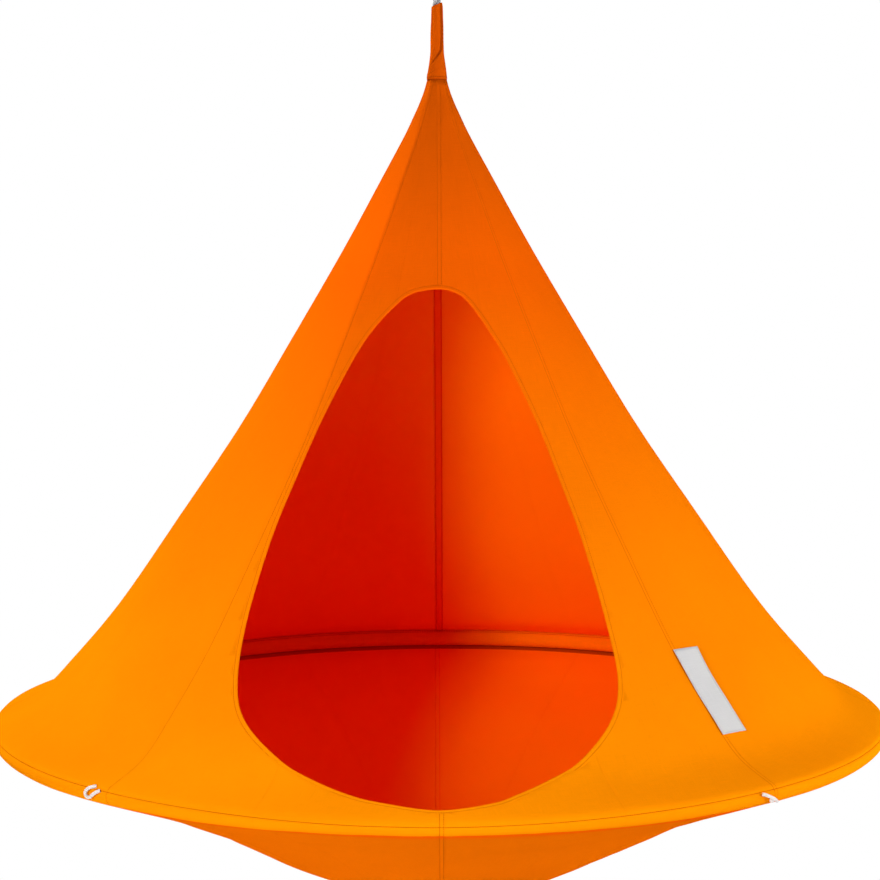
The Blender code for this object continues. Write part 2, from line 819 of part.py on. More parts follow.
def swivel():
    """The cup under the plate, with the washer, the nut and the eye that turns in it."""
    hole = STEM_RADIUS + RUNNING
    cavity = HOUSING_RADIUS - HOUSING_WALL
    floor = HOUSING_BOTTOM + HOUSING_FLOOR
    round_edge = 0.003
    turned(
        "swivel_housing",
        [(cavity, HOUSING_TOP), (HOUSING_RADIUS, HOUSING_TOP),
         (HOUSING_RADIUS, HOUSING_BOTTOM + round_edge),
         (HOUSING_RADIUS - round_edge * 0.3, HOUSING_BOTTOM + round_edge * 0.3),
         (HOUSING_RADIUS - round_edge, HOUSING_BOTTOM),
         (hole, HOUSING_BOTTOM), (hole, floor), (cavity, floor)],
        24, steel(),
    )
    washer_top = WASHER_BOTTOM + WASHER_THICKNESS
    turned(
        "swivel_washer",
        [(hole, WASHER_BOTTOM), (cavity - RUNNING, WASHER_BOTTOM),
         (cavity - RUNNING, washer_top), (hole, washer_top)],
        32, material("brass", (0.72, 0.5, 0.2), 0.35, 1.0),
    )
    nut_top = NUT_BOTTOM + NUT_HEIGHT
    nut_middle = (0, 0, NUT_BOTTOM + NUT_HEIGHT / 2)
    nut = cylinder("swivel_nut", cavity - 2 * RUNNING, NUT_HEIGHT, 6, steel(), nut_middle)
    bore = cylinder("nut_bore", STEM_RADIUS + FIT, 2 * NUT_HEIGHT, 20, steel(), nut_middle)
    combine(nut, bore, "DIFFERENCE")
    eye = turned(
        "swivel_eye",
        [(EYE_HOLE_RADIUS + EYE_ROD_RADIUS * (1 + math.cos(math.tau * i / 10)),
          EYE_ROD_RADIUS * math.sin(math.tau * i / 10)) for i in range(10)],
        24, steel(), (0, 0, EYE_Z),
    )
    eye.rotation_euler = (math.pi / 2, 0, 0)
    low = EYE_Z + EYE_HOLE_RADIUS + EYE_ROD_RADIUS
    stem = turned(
        "swivel_stem",
        [(0, low), (STEM_RADIUS * 1.5, low), (STEM_RADIUS * 1.5, HOUSING_BOTTOM - RUNNING * 2),
         (STEM_RADIUS, HOUSING_BOTTOM - RUNNING * 2), (STEM_RADIUS, nut_top), (0, nut_top)],
        20, steel(),
    )
    combine(eye, stem, "UNION")


def carabiner():
    """The oval snap carabiner: a bent rod with a clevis, the gate, and the gate's pin."""
    half = CARABINER_HALF_WIDTH
    top = BOW_TOP - CARABINER_BOW_RADIUS
    bottom = BOW_BOTTOM + CARABINER_BOW_RADIUS
    bends = 12
    points = [Vector((0, -half, NOSE_Z))]
    for i in range(bends + 1):
        turn = math.pi - math.pi * i / bends
        points.append(Vector((0, half * math.cos(turn), top + half * math.sin(turn))))
    for i in range(bends + 1):
        turn = -math.pi * i / bends
        points.append(Vector((0, half * math.cos(turn), bottom + half * math.sin(turn))))
    points.append(Vector((0, -half, ROD_END_Z)))
    frame = as_mesh(bent_bar("carabiner_frame", points, CARABINER_ROD_RADIUS, steel()))
    ear_offset = GATE_TAIL_THICKNESS / 2 + RUNNING + EAR_THICKNESS / 2
    for number, side in enumerate((-1, 1)):
        ear = lug(
            f"ear_{number}", EAR_RADIUS, EAR_THICKNESS, GATE_PIN_Z - ROD_END_Z + EAR_SINK, steel(),
            (side * ear_offset, -half, GATE_PIN_Z), up=-1,
        )
        combine(frame, ear, "UNION")
    drill = cylinder(
        "pin_drill", GATE_PIN_RADIUS + FIT, 4 * ear_offset, 16, steel(),
        (0, -half, GATE_PIN_Z), axis="X",
    )
    combine(frame, drill, "DIFFERENCE")
    cylinder(
        "gate_pin", GATE_PIN_RADIUS, 2 * ear_offset + EAR_THICKNESS, 16, steel(),
        (0, -half, GATE_PIN_Z), axis="X",
    )
    hinge = bpy.data.objects.new("gate_hinge", None)
    bpy.context.collection.objects.link(hinge)
    hinge.location = (0, -half, GATE_PIN_Z)
    tail_rise = EAR_RADIUS + KNUCKLE_GAP
    gate = cylinder(
        "carabiner_gate", GATE_RADIUS, GATE_LENGTH - tail_rise, 20, steel(),
        (0, 0, (GATE_LENGTH + tail_rise) / 2),
    )
    gate.parent = hinge
    tail = lug(
        "gate_tail", EAR_RADIUS - 0.0002, GATE_TAIL_THICKNESS, tail_rise + EAR_SINK, steel(), (0, 0, 0),
    )
    bore = cylinder(
        "gate_bore", GATE_PIN_RADIUS + RUNNING, 4 * GATE_TAIL_THICKNESS, 16, steel(),
        (0, 0, 0), axis="X",
    )
    for tool, operation in ((tail, "UNION"), (bore, "DIFFERENCE")):
        tool.parent = hinge
        combine(gate, tool, operation)


def eye_route():
    """The rope's middle line round the thimble, in (x, z), from one side of the throat to the other."""
    radius = THIMBLE_HOLE_RADIUS + THIMBLE_WALL + FIT + ROPE_RADIUS
    side = ROPE_RADIUS + FIT
    drop = EYE_THROAT_DROP - EYE_LEG_STRAIGHT
    reach = math.hypot(side, drop)
    start = math.atan2(-drop, side) + math.acos(radius / reach)
    bends = 16
    points = [(side, THROAT_Z), (side, THIMBLE_Z - drop)]
    for i in range(bends + 1):
        turn = start + (math.pi - 2 * start) * i / bends
        points.append((radius * math.cos(turn), THIMBLE_Z + radius * math.sin(turn)))
    points += [(-side, THIMBLE_Z - drop), (-side, THROAT_Z)]
    return points


def rope():
    """The hanging rope with its eye, thimble and splice, and the knot that carries the cone."""
    route = eye_route()
    bent_bar("rope_eye", [(x, 0, z) for x, z in route], ROPE_RADIUS, rope_yarn())

    # The thimble is a half channel on the inside of the rope's bend.
    stop = ROPE_RADIUS + THIMBLE_WALL + 2 * FIT + 0.001
    def cut_back(near, far):
        t = (near[0] - math.copysign(stop, near[0])) / (near[0] - far[0])
        return tuple(near[k] + (far[k] - near[k]) * t for k in range(2))
    arc = route[2:-2]
    line = [cut_back(arc[0], route[1]), *arc, cut_back(arc[-1], route[-2])]
    inside, outside = ROPE_RADIUS + FIT, ROPE_RADIUS + FIT + THIMBLE_WALL
    rings = []
    for i, (x, z) in enumerate(line):
        (xa, za), (xb, zb) = line[max(i - 1, 0)], line[min(i + 1, len(line) - 1)]
        run = Vector((xb - xa, 0, zb - za)).normalized()
        out = Vector((run.z, 0, -run.x))
        here = Vector((x, 0, z))
        ring = []
        for size, order in ((outside, 1), (inside, -1)):
            for k in range(-3, 4):
                turn = math.pi / 2 * k / 3 * order
                ring.append(here - out * size * math.cos(turn) + Vector((0, size * math.sin(turn), 0)))
        rings.append(ring)
    skin("eye_thimble", rings, steel())

    # The splice swells where the two legs of the eye meet, and tapers to the single rope.
    wide = 2 * ROPE_RADIUS + FIT + SPLICE_COVER
    slim = ROPE_RADIUS + SPLICE_COVER
    shape = ((0.0, wide, slim), (0.2, wide * 0.96, slim * 1.04), (0.5, wide * 0.8, slim * 1.08),
             (0.8, wide * 0.64, slim * 1.04), (1.0, slim, slim))
    bm = bmesh.new()
    loops = []
    for down, half_x, half_y in shape:
        height = SPLICE_TOP - SPLICE_LENGTH * down
        loops.append([
            bm.verts.new((half_x * math.cos(math.tau * k / 20), half_y * math.sin(math.tau * k / 20), height))
            for k in range(20)
        ])
    for low, high in zip(loops, loops[1:]):
        for k in range(20):
            bm.faces.new((low[k - 1], low[k], high[k], high[k - 1]))
    bm.faces.new(loops[0])
    bm.faces.new(loops[-1])
    place("rope_splice", bm, material("splice_cover", (0.08, 0.08, 0.085), 0.6))

    # The straight rope runs from the splice through the neck and the spreader plate to the knot.
    knot_top = RING_Z + SPREADER_HEIGHT - SPREADER_THICKNESS - FIT
    start = SPLICE_BOTTOM - FIT
    steps = 8
    bent_bar(
        "hanging_rope",
        [(0, 0, start + (knot_top + FIT - start) * i / steps) for i in range(steps + 1)],
        ROPE_RADIUS, rope_yarn(), resolution=4,
    )
    outline = [(0, knot_top)]
    bumps = 4 * KNOT_WRAPS
    for i in range(bumps + 1):
        share = i / bumps
        bulge = abs(math.sin(math.pi * KNOT_WRAPS * share))
        body = KNOT_RADIUS * (0.82 + 0.18 * bulge)
        outline.append((body, knot_top - 0.002 - (KNOT_LENGTH - 0.004) * share))
    end = knot_top - KNOT_LENGTH
    outline += [(ROPE_RADIUS, end), (ROPE_RADIUS, end - TAIL_LENGTH), (0, end - TAIL_LENGTH)]
    turned("rope_knot", outline, 16, rope_yarn())

    # The spreader plate fills the cone from side to side, so the cloth hangs on its edge.
    half = max(
        (seam_azimuth(i + 1, SPREADER_HEIGHT) - seam_azimuth(i, SPREADER_HEIGHT)) / 2
        for i in range(8)
    )
    drawn = facet(0, -half, half, SPREADER_HEIGHT)
    edge = cone_radius(SPREADER_HEIGHT, 1) * drawn - FIT
    bore = ROPE_RADIUS + FIT
    turned(
        "spreader_plate",
        [(bore, SPREADER_HEIGHT), (edge, SPREADER_HEIGHT),
         (edge, SPREADER_HEIGHT - SPREADER_THICKNESS), (bore, SPREADER_HEIGHT - SPREADER_THICKNESS)],
        32, aluminium(), (0, 0, RING_Z),
    )


def upper_cone():
    """The eight upper panels with their tapes, the doorway and its hem, the neck and the tag."""
    panels = [gore(index) for index in range(8)]
    outline = door_outline()
    cutter = door_cutter(widened(outline, HEM_WIDTH + FIT))
    for panel in (panels[0], panels[7]):
        combine(panel, cutter, "DIFFERENCE")
    door_hem(outline, widened(outline, HEM_WIDTH))
    tape_names = (
        "front", "right_front", "right", "right_back",
        "back", "left_back", "left", "left_front",
    )
    above_door = DOOR_TOP + HEM_WIDTH + SEAM_TAPE_THICKNESS
    for index, name in enumerate(tape_names):
        lowest = above_door if index == 0 else SEAM_TAPE_LIFT
        seam_tape(index, f"seam_tape_{name}", lowest)
    neck_sleeve()
    blank_tag()


def rim():
    """The ring's tubes and ferrules, the four sleeves round it, and the four ties."""
    for number, side in enumerate(("front", "right", "back", "left")):
        start = rim_azimuths((2 * number - 1) % 8)
        if number == 0:
            start = [azimuth - 360 for azimuth in start]
        azimuths = start[:-1] + rim_azimuths(2 * number)
        ring_section(
            f"ring_tube_{side}", azimuths, TUBE_RADIUS, TUBE_WALL,
            TUBE_SIDES, FIT / 2, aluminium(),
        )
        ring_section(
            f"rim_sleeve_{side}", azimuths, SLEEVE_RADIUS, SLEEVE_WALL,
            SLEEVE_SIDES, SLEEVE_SLIT / 2, orange_cloth(),
        )
    for index, side in ((1, "right_front"), (3, "right_back"), (5, "left_back"), (7, "left_front")):
        ring_ferrule(f"ring_ferrule_{side}", SEAMS[index])
        tie(f"rim_tie_{side}", SEAMS[index])


def floor():
    """The eight floor panels and the patch in the middle."""
    rows = floor_rows()
    for index in range(8):
        floor_panel(index, rows)
    floor_patch(rows)


for old in list(bpy.data.objects):
    bpy.data.objects.remove(old)
ceiling_plate()
swivel()
carabiner()
rope()
upper_cone()
rim()
floor()
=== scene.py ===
"""A hanging tent of orange cloth: the dressed scene over the fixed frame.

Heights on the cloth are given above the ring's middle plane. Azimuth 0 is the middle of the
door, which faces -Y, and +X is at 90 degrees.
"""

import math

import bpy
import numpy as np
from mathutils import Matrix, Vector, noise


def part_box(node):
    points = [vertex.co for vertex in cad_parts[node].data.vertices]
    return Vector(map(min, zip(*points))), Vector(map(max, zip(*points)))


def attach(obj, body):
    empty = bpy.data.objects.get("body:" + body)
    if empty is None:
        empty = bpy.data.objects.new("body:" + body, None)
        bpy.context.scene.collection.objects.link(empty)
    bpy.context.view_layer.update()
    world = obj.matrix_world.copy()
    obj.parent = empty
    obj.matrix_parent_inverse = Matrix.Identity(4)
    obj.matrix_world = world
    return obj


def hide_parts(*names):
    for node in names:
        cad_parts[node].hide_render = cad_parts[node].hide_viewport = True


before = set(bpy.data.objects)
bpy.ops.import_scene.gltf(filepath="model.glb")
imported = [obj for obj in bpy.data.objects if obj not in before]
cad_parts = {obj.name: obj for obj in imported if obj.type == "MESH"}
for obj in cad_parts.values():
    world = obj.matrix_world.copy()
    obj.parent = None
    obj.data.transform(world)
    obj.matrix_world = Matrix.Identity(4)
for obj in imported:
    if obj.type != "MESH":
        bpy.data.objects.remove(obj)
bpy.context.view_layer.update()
RING_Z = -1.5125


# The camera stands four metres in front of the door, a little above its middle, and looks
# slightly down, so that the rim shows as a narrow oval and the rope leaves the top of the view.
bpy.ops.object.select_all(action="DESELECT")
bpy.ops.object.camera_add(location=(0.0028, -4.0, RING_Z + 0.8545))
camera = bpy.context.object
camera.name = "camera"
look = Vector((0.0028, 0, RING_Z + 0.4752)) - camera.location
tilt = Matrix.Rotation(math.radians(0.22), 4, look)
camera.rotation_euler = (tilt @ look.to_track_quat("-Z", "Y").to_matrix().to_4x4()).to_euler()
camera.data.sensor_width = 36
camera.data.lens = 36 * 2357 / 880
bpy.context.scene.camera = camera
bpy.context.scene.view_settings.view_transform = "Standard"


# The rope is laid from three strands of pale polyester. It rises from its stopper knot through
# the plate and the neck, turns round a steel thimble and is spliced back into itself.
ROPE_WIDTH = 0.014
ROPE_LAY = 0.045
KNOT_TOP = RING_Z + 1.020 - 0.005 - 0.0003
THROAT = -0.2209
THIMBLE_MIDDLE = -0.1659
EYE_BEND = 0.0225
LEG = 0.0073


def eye_points():
    """The rope's middle line from its knot, up through the splice and round the thimble."""
    points = []
    for step in range(13):
        points.append(Vector((0, 0, KNOT_TOP + (THROAT - 0.045 - KNOT_TOP) * step / 12)))
    points.append(Vector((LEG * 0.35, 0, THROAT - 0.026)))
    points.append(Vector((LEG * 0.9, 0, THROAT - 0.008)))
    points.append(Vector((LEG, 0, THROAT + 0.004)))
    drop = THIMBLE_MIDDLE - THROAT - 0.008
    start = math.atan2(-drop, LEG) + math.acos(EYE_BEND / math.hypot(LEG, drop))
    for step in range(17):
        turn = start + (math.pi - 2 * start) * step / 16
        points.append(Vector((EYE_BEND * math.cos(turn), 0, THIMBLE_MIDDLE + EYE_BEND * math.sin(turn))))
    points.append(Vector((-LEG, 0, THROAT + 0.004)))
    points.append(Vector((-LEG, 0, THROAT - 0.008)))
    return points


def smooth_route(points, step):
    """Points a fixed step apart along a smooth curve through the given points."""
    fine = []
    last = len(points) - 1
    for i in range(last):
        before, start = points[max(i - 1, 0)], points[i]
        end, after = points[i + 1], points[min(i + 2, last)]
        for k in range(12):
            t = k / 12
            fine.append(0.5 * (
                2 * start + (end - before) * t
                + (2 * before - 5 * start + 4 * end - after) * t * t
                + (3 * start - before - 3 * end + after) * t ** 3
            ))
    fine.append(points[-1])
    along = [0.0]
    for a, b in zip(fine, fine[1:]):
        along.append(along[-1] + (b - a).length)
    count = max(2, round(along[-1] / step) + 1)
    route = []
    i = 0
    for k in range(count):
        want = along[-1] * k / (count - 1)
        while i < len(fine) - 2 and along[i + 1] < want:
            i += 1
        t = (want - along[i]) / (along[i + 1] - along[i])
        route.append(fine[i].lerp(fine[i + 1], t))
    return route


def mesh_piece(name, verts, faces, layers, finishes):
    """A smooth new mesh piece with its finishes and UV layers, {name: place of each corner}."""
    mesh = bpy.data.meshes.new(name)
    mesh.from_pydata(verts, [], faces)
    for label, values in layers.items():
        layer = mesh.uv_layers.new(name=label)
        layer.data.foreach_set("uv", np.array(values, dtype=np.float32).ravel())
    for finish in finishes:
        mesh.materials.append(finish)
    mesh.shade_smooth()
    made = bpy.data.objects.new(name, mesh)
    bpy.context.collection.objects.link(made)
    return made


def laid_rope(name, route, width, lay, finish, strands=3, sides=36, side=Vector((0, 1, 0))):
    """A rope of twisted strands along a route, with UV in metres round and along it."""
    strand = width / 2 / (1 + 1 / math.sin(math.pi / strands))
    centre = width / 2 - strand
    verts, places = [], []
    run = 0.0
    across = side.copy()
    for i, here in enumerate(route):
        ahead = (route[min(i + 1, len(route) - 1)] - route[max(i - 1, 0)]).normalized()
        across = (across - ahead * across.dot(ahead)).normalized()
        up = ahead.cross(across)
        if i:
            run += (here - route[i - 1]).length
        for k in range(sides):
            turn = math.tau * k / sides
            off = (turn + math.pi / strands) % (math.tau / strands) - math.pi / strands
            inner = max(strand ** 2 - (centre * math.sin(off)) ** 2, 0)
            reach = centre * math.cos(off) + math.sqrt(inner)
            twist = turn + math.tau * run / lay
            verts.append(here + (across * math.cos(twist) + up * math.sin(twist)) * reach)
            places.append((turn * width / 2, run))
    faces, uvs = [], []
    for start in range(0, (len(route) - 1) * sides, sides):
        for k in range(sides):
            nxt = (k + 1) % sides
            end = start + sides
            faces.append((start + k, start + nxt, end + nxt, end + k))
            wrap = math.pi * width if nxt == 0 else 0
            low, high = places[start + nxt], places[end + nxt]
            uvs += [places[start + k], (low[0] + wrap, low[1]), (high[0] + wrap, high[1]), places[end + k]]
    last = (len(route) - 1) * sides
    faces.append(tuple(range(sides - 1, -1, -1)))
    faces.append(tuple(range(last, last + sides)))
    uvs += [(0, 0)] * (2 * sides)
    return mesh_piece(name, verts, faces, {"yarn": uvs}, [finish])


def filled(tree, node, values):
    """Sets a node's inputs, by name or place, to plain values, or links sockets to them."""
    for key, value in values.items():
        if isinstance(value, bpy.types.NodeSocket):
            tree.links.new(value, node.inputs[key])
        elif node.inputs[key].type == "RGBA":
            node.inputs[key].default_value = (*value, 1)
        else:
            node.inputs[key].default_value = value
    return node


def new_group(name, inputs, outputs):
    """An empty shader node group: its inputs are {name: number, or None for a vector}."""
    group = bpy.data.node_groups.new(name, "ShaderNodeTree")
    for label, value in inputs.items():
        kind = "NodeSocketVector" if value is None else "NodeSocketFloat"
        socket = group.interface.new_socket(label, in_out="INPUT", socket_type=kind)
        if value is not None:
            socket.default_value = value
    for label in outputs:
        group.interface.new_socket(label, in_out="OUTPUT", socket_type="NodeSocketFloat")
    return group, group.nodes.new("NodeGroupInput").outputs, group.nodes.new("NodeGroupOutput")


def in_group(tree, group, values):
    """A node that holds a shared group, with its inputs filled. Returns its outputs."""
    node = tree.nodes.new("ShaderNodeGroup")
    node.node_tree = group
    return filled(tree, node, values).outputs


def maths(tree, kind, *values):
    """A Math node whose inputs are sockets or plain numbers. Returns its output."""
    node = tree.nodes.new("ShaderNodeMath")
    node.operation = kind
    return filled(tree, node, dict(enumerate(values))).outputs[0]


def times(tree, first, second):
    """The product of two sockets or plain numbers."""
    return maths(tree, "MULTIPLY", first, second)


def split(tree, place):
    """The X, Y and Z of a vector socket."""
    return filled(tree, tree.nodes.new("ShaderNodeSeparateXYZ"), {0: place}).outputs


def from_axis(tree, place):
    """The distance of a place from the Z axis."""
    x, y, _ = split(tree, place)
    return maths(tree, "SQRT", maths(tree, "MULTIPLY_ADD", y, y, times(tree, x, x)))


def mixed(tree, factor, first, second, kind="MIX"):
    """A colour Mix node whose inputs are sockets, colours or plain numbers."""
    node = tree.nodes.new("ShaderNodeMix")
    node.data_type = "RGBA"
    node.blend_type = kind
    return filled(tree, node, {0: factor, 6: first, 7: second}).outputs[2]


def spread(tree, value, low, high, start=0.0, end=1.0):
    """Maps a value from one range to another, and clamps it."""
    node = tree.nodes.new("ShaderNodeMapRange")
    ends = {"From Min": low, "From Max": high, "To Min": start, "To Max": end}
    return filled(tree, node, {"Value": value, **ends}).outputs[0]


def speckle(tree, place, scale, detail=2.0, stretch=(1, 1, 1)):
    """A Noise texture on the given coordinates, stretched by a Mapping node."""
    mapping = filled(tree, tree.nodes.new("ShaderNodeMapping"), {"Vector": place, "Scale": stretch})
    node = tree.nodes.new("ShaderNodeTexNoise")
    return filled(tree, node, {"Vector": mapping.outputs[0], "Scale": scale, "Detail": detail}).outputs["Fac"]


def finish_of(name, values):
    """A new material: its tree, its filled Principled node and its texture coordinates."""
    made = bpy.data.materials.new(name)
    made.use_nodes = True
    tree = made.node_tree
    shader = filled(tree, tree.nodes["Principled BSDF"], values)
    return made, tree, shader, tree.nodes.new("ShaderNodeTexCoord").outputs


def raised(tree, shader, height, depth):
    """Feeds a height through a Bump node into the shader's normal."""
    bump = filled(tree, tree.nodes.new("ShaderNodeBump"), {"Distance": depth, "Height": height})
    filled(tree, shader, {"Normal": bump.outputs[0]})


def rope_finish():
    """Pale polyester yarn: fine yarns across each strand, with painted shade in the grooves between strands
    and yarns.
    """
    made, tree, shader, place = finish_of("rope_yarn", {"Roughness": 0.75, "Sheen Weight": 0.25})
    around, along, _ = split(tree, place["UV"])
    slope = maths(tree, "MULTIPLY_ADD", around, 5200.0, times(tree, along, 2600.0))
    yarn = maths(tree, "ABSOLUTE", maths(tree, "SINE", slope))
    round_it = times(tree, around, 3 / (ROPE_WIDTH / 2))
    groove_shade = maths(tree, "MULTIPLY_ADD", maths(tree, "COSINE", round_it), 0.5, 0.5)
    worn = speckle(tree, place["Object"], 60.0, 4.0)
    # Painted shade: the grooves between strands are painted a darker blue-grey, and the gaps between yarns
    # darker still.
    colour = mixed(tree, groove_shade, (0.36, 0.38, 0.42), (0.62, 0.62, 0.63))
    colour = mixed(tree, spread(tree, worn, 0.45, 0.7, 0.0, 0.35), colour, (0.5, 0.5, 0.5))
    colour = mixed(tree, spread(tree, yarn, 0.0, 0.5, 0.25, 0.0), colour, (0.2, 0.21, 0.24))
    filled(tree, shader, {"Base Color": colour})
    raised(tree, shader, yarn, 0.0004)
    return made


route = smooth_route(eye_points(), 0.0022)
rope_yarn = rope_finish()
rope = laid_rope("laid_rope", route, ROPE_WIDTH, ROPE_LAY, rope_yarn)
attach(rope, "tent")
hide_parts("hanging_rope", "rope_eye")


# The stopper knot under the plate is three turns of the same rope round itself. The tent's
# whole weight hangs on it, and its short tail points down into the tent.
KNOT_ROPE = 0.0136
KNOT_RADIUS = 0.0140
KNOT_STEP = 0.0028
turns = []
for step in range(3 * 16 + 1):
    turn = math.tau * step / 16
    height = KNOT_TOP - 0.0072 - 0.0282 * step / 48
    turns.append(Vector((KNOT_RADIUS * math.cos(turn), KNOT_RADIUS * math.sin(turn), height)))
coil = laid_rope(
    "rope_knot_turns", smooth_route(turns, KNOT_STEP), KNOT_ROPE, ROPE_LAY, rope_yarn, side=Vector((0, 0, 1)),
)
tail_top = Vector((0, 0, KNOT_TOP - 0.0004))
tail_end = Vector((0.001, 0.001, KNOT_TOP - 0.042 - 0.0295))
tail_route = smooth_route([tail_top, tail_top.lerp(tail_end, 0.5), tail_end], KNOT_STEP)
tail = laid_rope("rope_knot_tail", tail_route, KNOT_ROPE, ROPE_LAY, rope_yarn)
for piece in (coil, tail):
    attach(piece, "tent")
    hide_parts("rope_knot")


# The canopy is eight cut panels of waterproof cotton, sewn edge to edge and pulled tight
# between the plate in the tip and the ring. It turns over the ring and ends in a stitched edge.
CLOTH = 0.0012
RING = 0.742
WRAP = 0.0163
SHOULDER = 59.0
HEM_ANGLE = -58.0
SEAM_PRESSED = 0.0012
HEM_STITCH = 0.0255
HEM_SAG = 0.0085
RIM_DEGREE = 0.01295
RIM_CREASES = (
    (1.5, 2.2, 0.052, 0.016, 0.0016), (3.6, 2.6, 0.050, 0.018, 0.0018), (5.6, 3.0, 0.054, 0.014, 0.0013),
    (7.4, 3.2, 0.048, 0.018, 0.0012), (-2.4, -3.0, 0.050, 0.016, 0.0014), (-6.0, -4.0, 0.048, 0.016, 0.0012),
    (-0.6, 6.0, 0.031, 0.006, 0.0008), (1.2, -7.0, 0.031, 0.006, 0.0008), (12.0, 4.0, 0.046, 0.018, 0.0010),
)
NEAR_SEAM = (0, 0.0012, 0.0028, 0.0055, 0.0085, 0.0105, 0.016, 0.028)
PANEL_SHIFT = 0.9
PLATE_LEVEL = 1.022
PLATE_BLEND = 0.022
NECK = 0.0165
CONE_TOP = 1.0832
CONE_CURVE = (
    (1.0, 0.0), (0.973, 0.0125), (0.922, 0.0463), (0.847, 0.1055), (0.735, 0.1955), (0.595, 0.3155),
    (0.455, 0.4385), (0.314, 0.5785), (0.174, 0.7210), (0.081, 0.8363), (0.029, 0.9118), (0.0, 1.0),
)
FRONT_SEAM_RIM = 41.0
FRONT_SEAM_LEAN = 3.0
LEAN_HEIGHT = 1.0835
SEAMS = (0, FRONT_SEAM_RIM, 90, 135, 180, 225, 270, 360 - FRONT_SEAM_RIM, 360)
CUT_POINTS = 170
DOOR_TOP = 0.738
DOOR_BOTTOM = 0.020
DOOR_LEFT = (
    (0.731, 0.041), (0.712, 0.068), (0.673, 0.105), (0.625, 0.137), (0.532, 0.186),
    (0.441, 0.2265), (0.353, 0.262), (0.239, 0.295), (0.158, 0.3045), (0.109, 0.289),
    (0.066, 0.233), (0.046, 0.183), (0.032, 0.126), (0.0255, 0.075),
)
DOOR_RIGHT = (
    (0.731, 0.031), (0.712, 0.053), (0.673, 0.081), (0.625, 0.110), (0.532, 0.155),
    (0.441, 0.191), (0.353, 0.223), (0.239, 0.255), (0.160, 0.269), (0.110, 0.254),
    (0.066, 0.206), (0.046, 0.158), (0.032, 0.108), (0.0255, 0.075),
)


def smooth_curve(points, count):
    """Evenly spaced points along a smooth curve through the given points, as an array."""
    route = [Vector((*point, 0)) for point in points]
    long = sum((b - a).length for a, b in zip(route, route[1:]))
    fine = smooth_route(route, long / (count * 6))
    pick = np.linspace(0, len(fine) - 1, count)
    return np.array([[np.interp(i, range(len(fine)), [p[k] for p in fine]) for k in (0, 1)] for i in pick])


def stacked(*parts):
    """Arrays spread to one shape and joined on a new last axis."""
    return np.stack(np.broadcast_arrays(*parts), axis=-1)


def unit(vectors):
    """Vectors scaled to a length of one."""
    return vectors / np.linalg.norm(vectors, axis=-1, keepdims=True)


def length_along(line):
    """The length along a line of points up to each of them."""
    return np.concatenate([[0], np.cumsum(np.linalg.norm(np.diff(line, axis=0), axis=1))])


def bell(off, width):
    """A smooth bump: 1 where off is 0, and close to 0 from twice the width."""
    return np.exp(-(off / width) ** 2)


def off_tube(radius, degrees):
    """Radius from the tent's axis and height of points on a circle round the ring's tube."""
    turn = np.radians(degrees)
    return stacked(RING + radius * np.cos(turn), radius * np.sin(turn))


def cone_line(rows=110, wrapped=26):
    """The seam line's outer face from the neck down over the ring: (radius, height) rows."""
    edge = off_tube(WRAP, SHOULDER)
    line = [
        (NECK + (edge[0] - NECK) * across, edge[1] + (CONE_TOP - edge[1]) * up)
        for up, across in CONE_CURVE
    ]
    turned = off_tube(WRAP, np.linspace(SHOULDER, HEM_ANGLE, wrapped))
    return np.concatenate([smooth_curve(line, rows), turned[1:]])


CONE = cone_line()


def seam_at(index, height):
    """A seam's azimuth at a height. The two beside the door lean towards it with height."""
    lean = FRONT_SEAM_LEAN * np.clip(height / LEAN_HEIGHT, 0, 1)
    return SEAMS[index] + {1: -1.0, 7: 1.0}.get(index, 0.0) * lean


def drawn_in(azimuth, low, high, height):
    """How far the tight cloth is drawn in between two seams: flat near the tip, round at the rim."""
    strength = np.clip(height / LEAN_HEIGHT, 0, 1) ** 1.5
    half = np.radians((high - low) / 2)
    off = np.radians(azimuth - (low + high) / 2)
    return (np.cos(half) / np.cos(off)) ** strength


def swung(radius, azimuth, height):
    """Points in the frame from radius, azimuth in degrees and height above the ring."""
    turn = np.radians(azimuth)
    return stacked(radius * np.sin(turn), -radius * np.cos(turn), RING_Z + height)


def round_tube(radius, degrees, azimuth):
    """Points in the frame on circles round the ring's tube, at an azimuth along the ring."""
    turned = off_tube(radius, degrees)
    return swung(turned[..., 0], azimuth, turned[..., 1])


def facing(line, azimuth):
    """The outward direction on the surface that a line of (radius, height) rows sweeps."""
    run = unit(np.gradient(line, axis=0))
    turn = np.radians(azimuth)
    return stacked(-run[:, 1:] * np.sin(turn), run[:, 1:] * np.cos(turn), run[:, :1])


def panel_columns(wide, count):
    """Places across a panel from seam to seam, close together beside both seams."""
    near = np.array(NEAR_SEAM)[None, :]
    near = near * np.minimum(1, wide * 0.35 / NEAR_SEAM[-1])
    middle = near[:, -1:] + (wide - 2 * near[:, -1:]) * np.linspace(0, 1, count)[None, 1:-1]
    return np.concatenate([near, middle, (wide - near)[:, ::-1]], axis=1)


def ripple(place, size, seed):
    """Smooth noise from -1 to 1 over an array of points."""
    flat = place.reshape(-1, 3) / size
    out = np.array([noise.noise(Vector(p) + Vector((seed, -seed, seed))) for p in flat])
    return out.reshape(place.shape[:-1])


def seam_relief(distance, along, seed):
    """Height of the cloth near a seam: a narrow groove with small puckers beside it."""
    pucker = np.sin(along / 0.0065 + 2.5 * np.sin(along / 0.031 + seed)) * np.exp(-distance / 0.016)
    return -0.0005 * bell(distance, 0.0014) + 0.00012 * pucker * np.clip(distance / 0.004, 0, 1)


def chosen(piece):
    """Selects one piece alone and makes it active."""
    bpy.ops.object.select_all(action="DESELECT")
    piece.select_set(True)
    bpy.context.view_layer.objects.active = piece


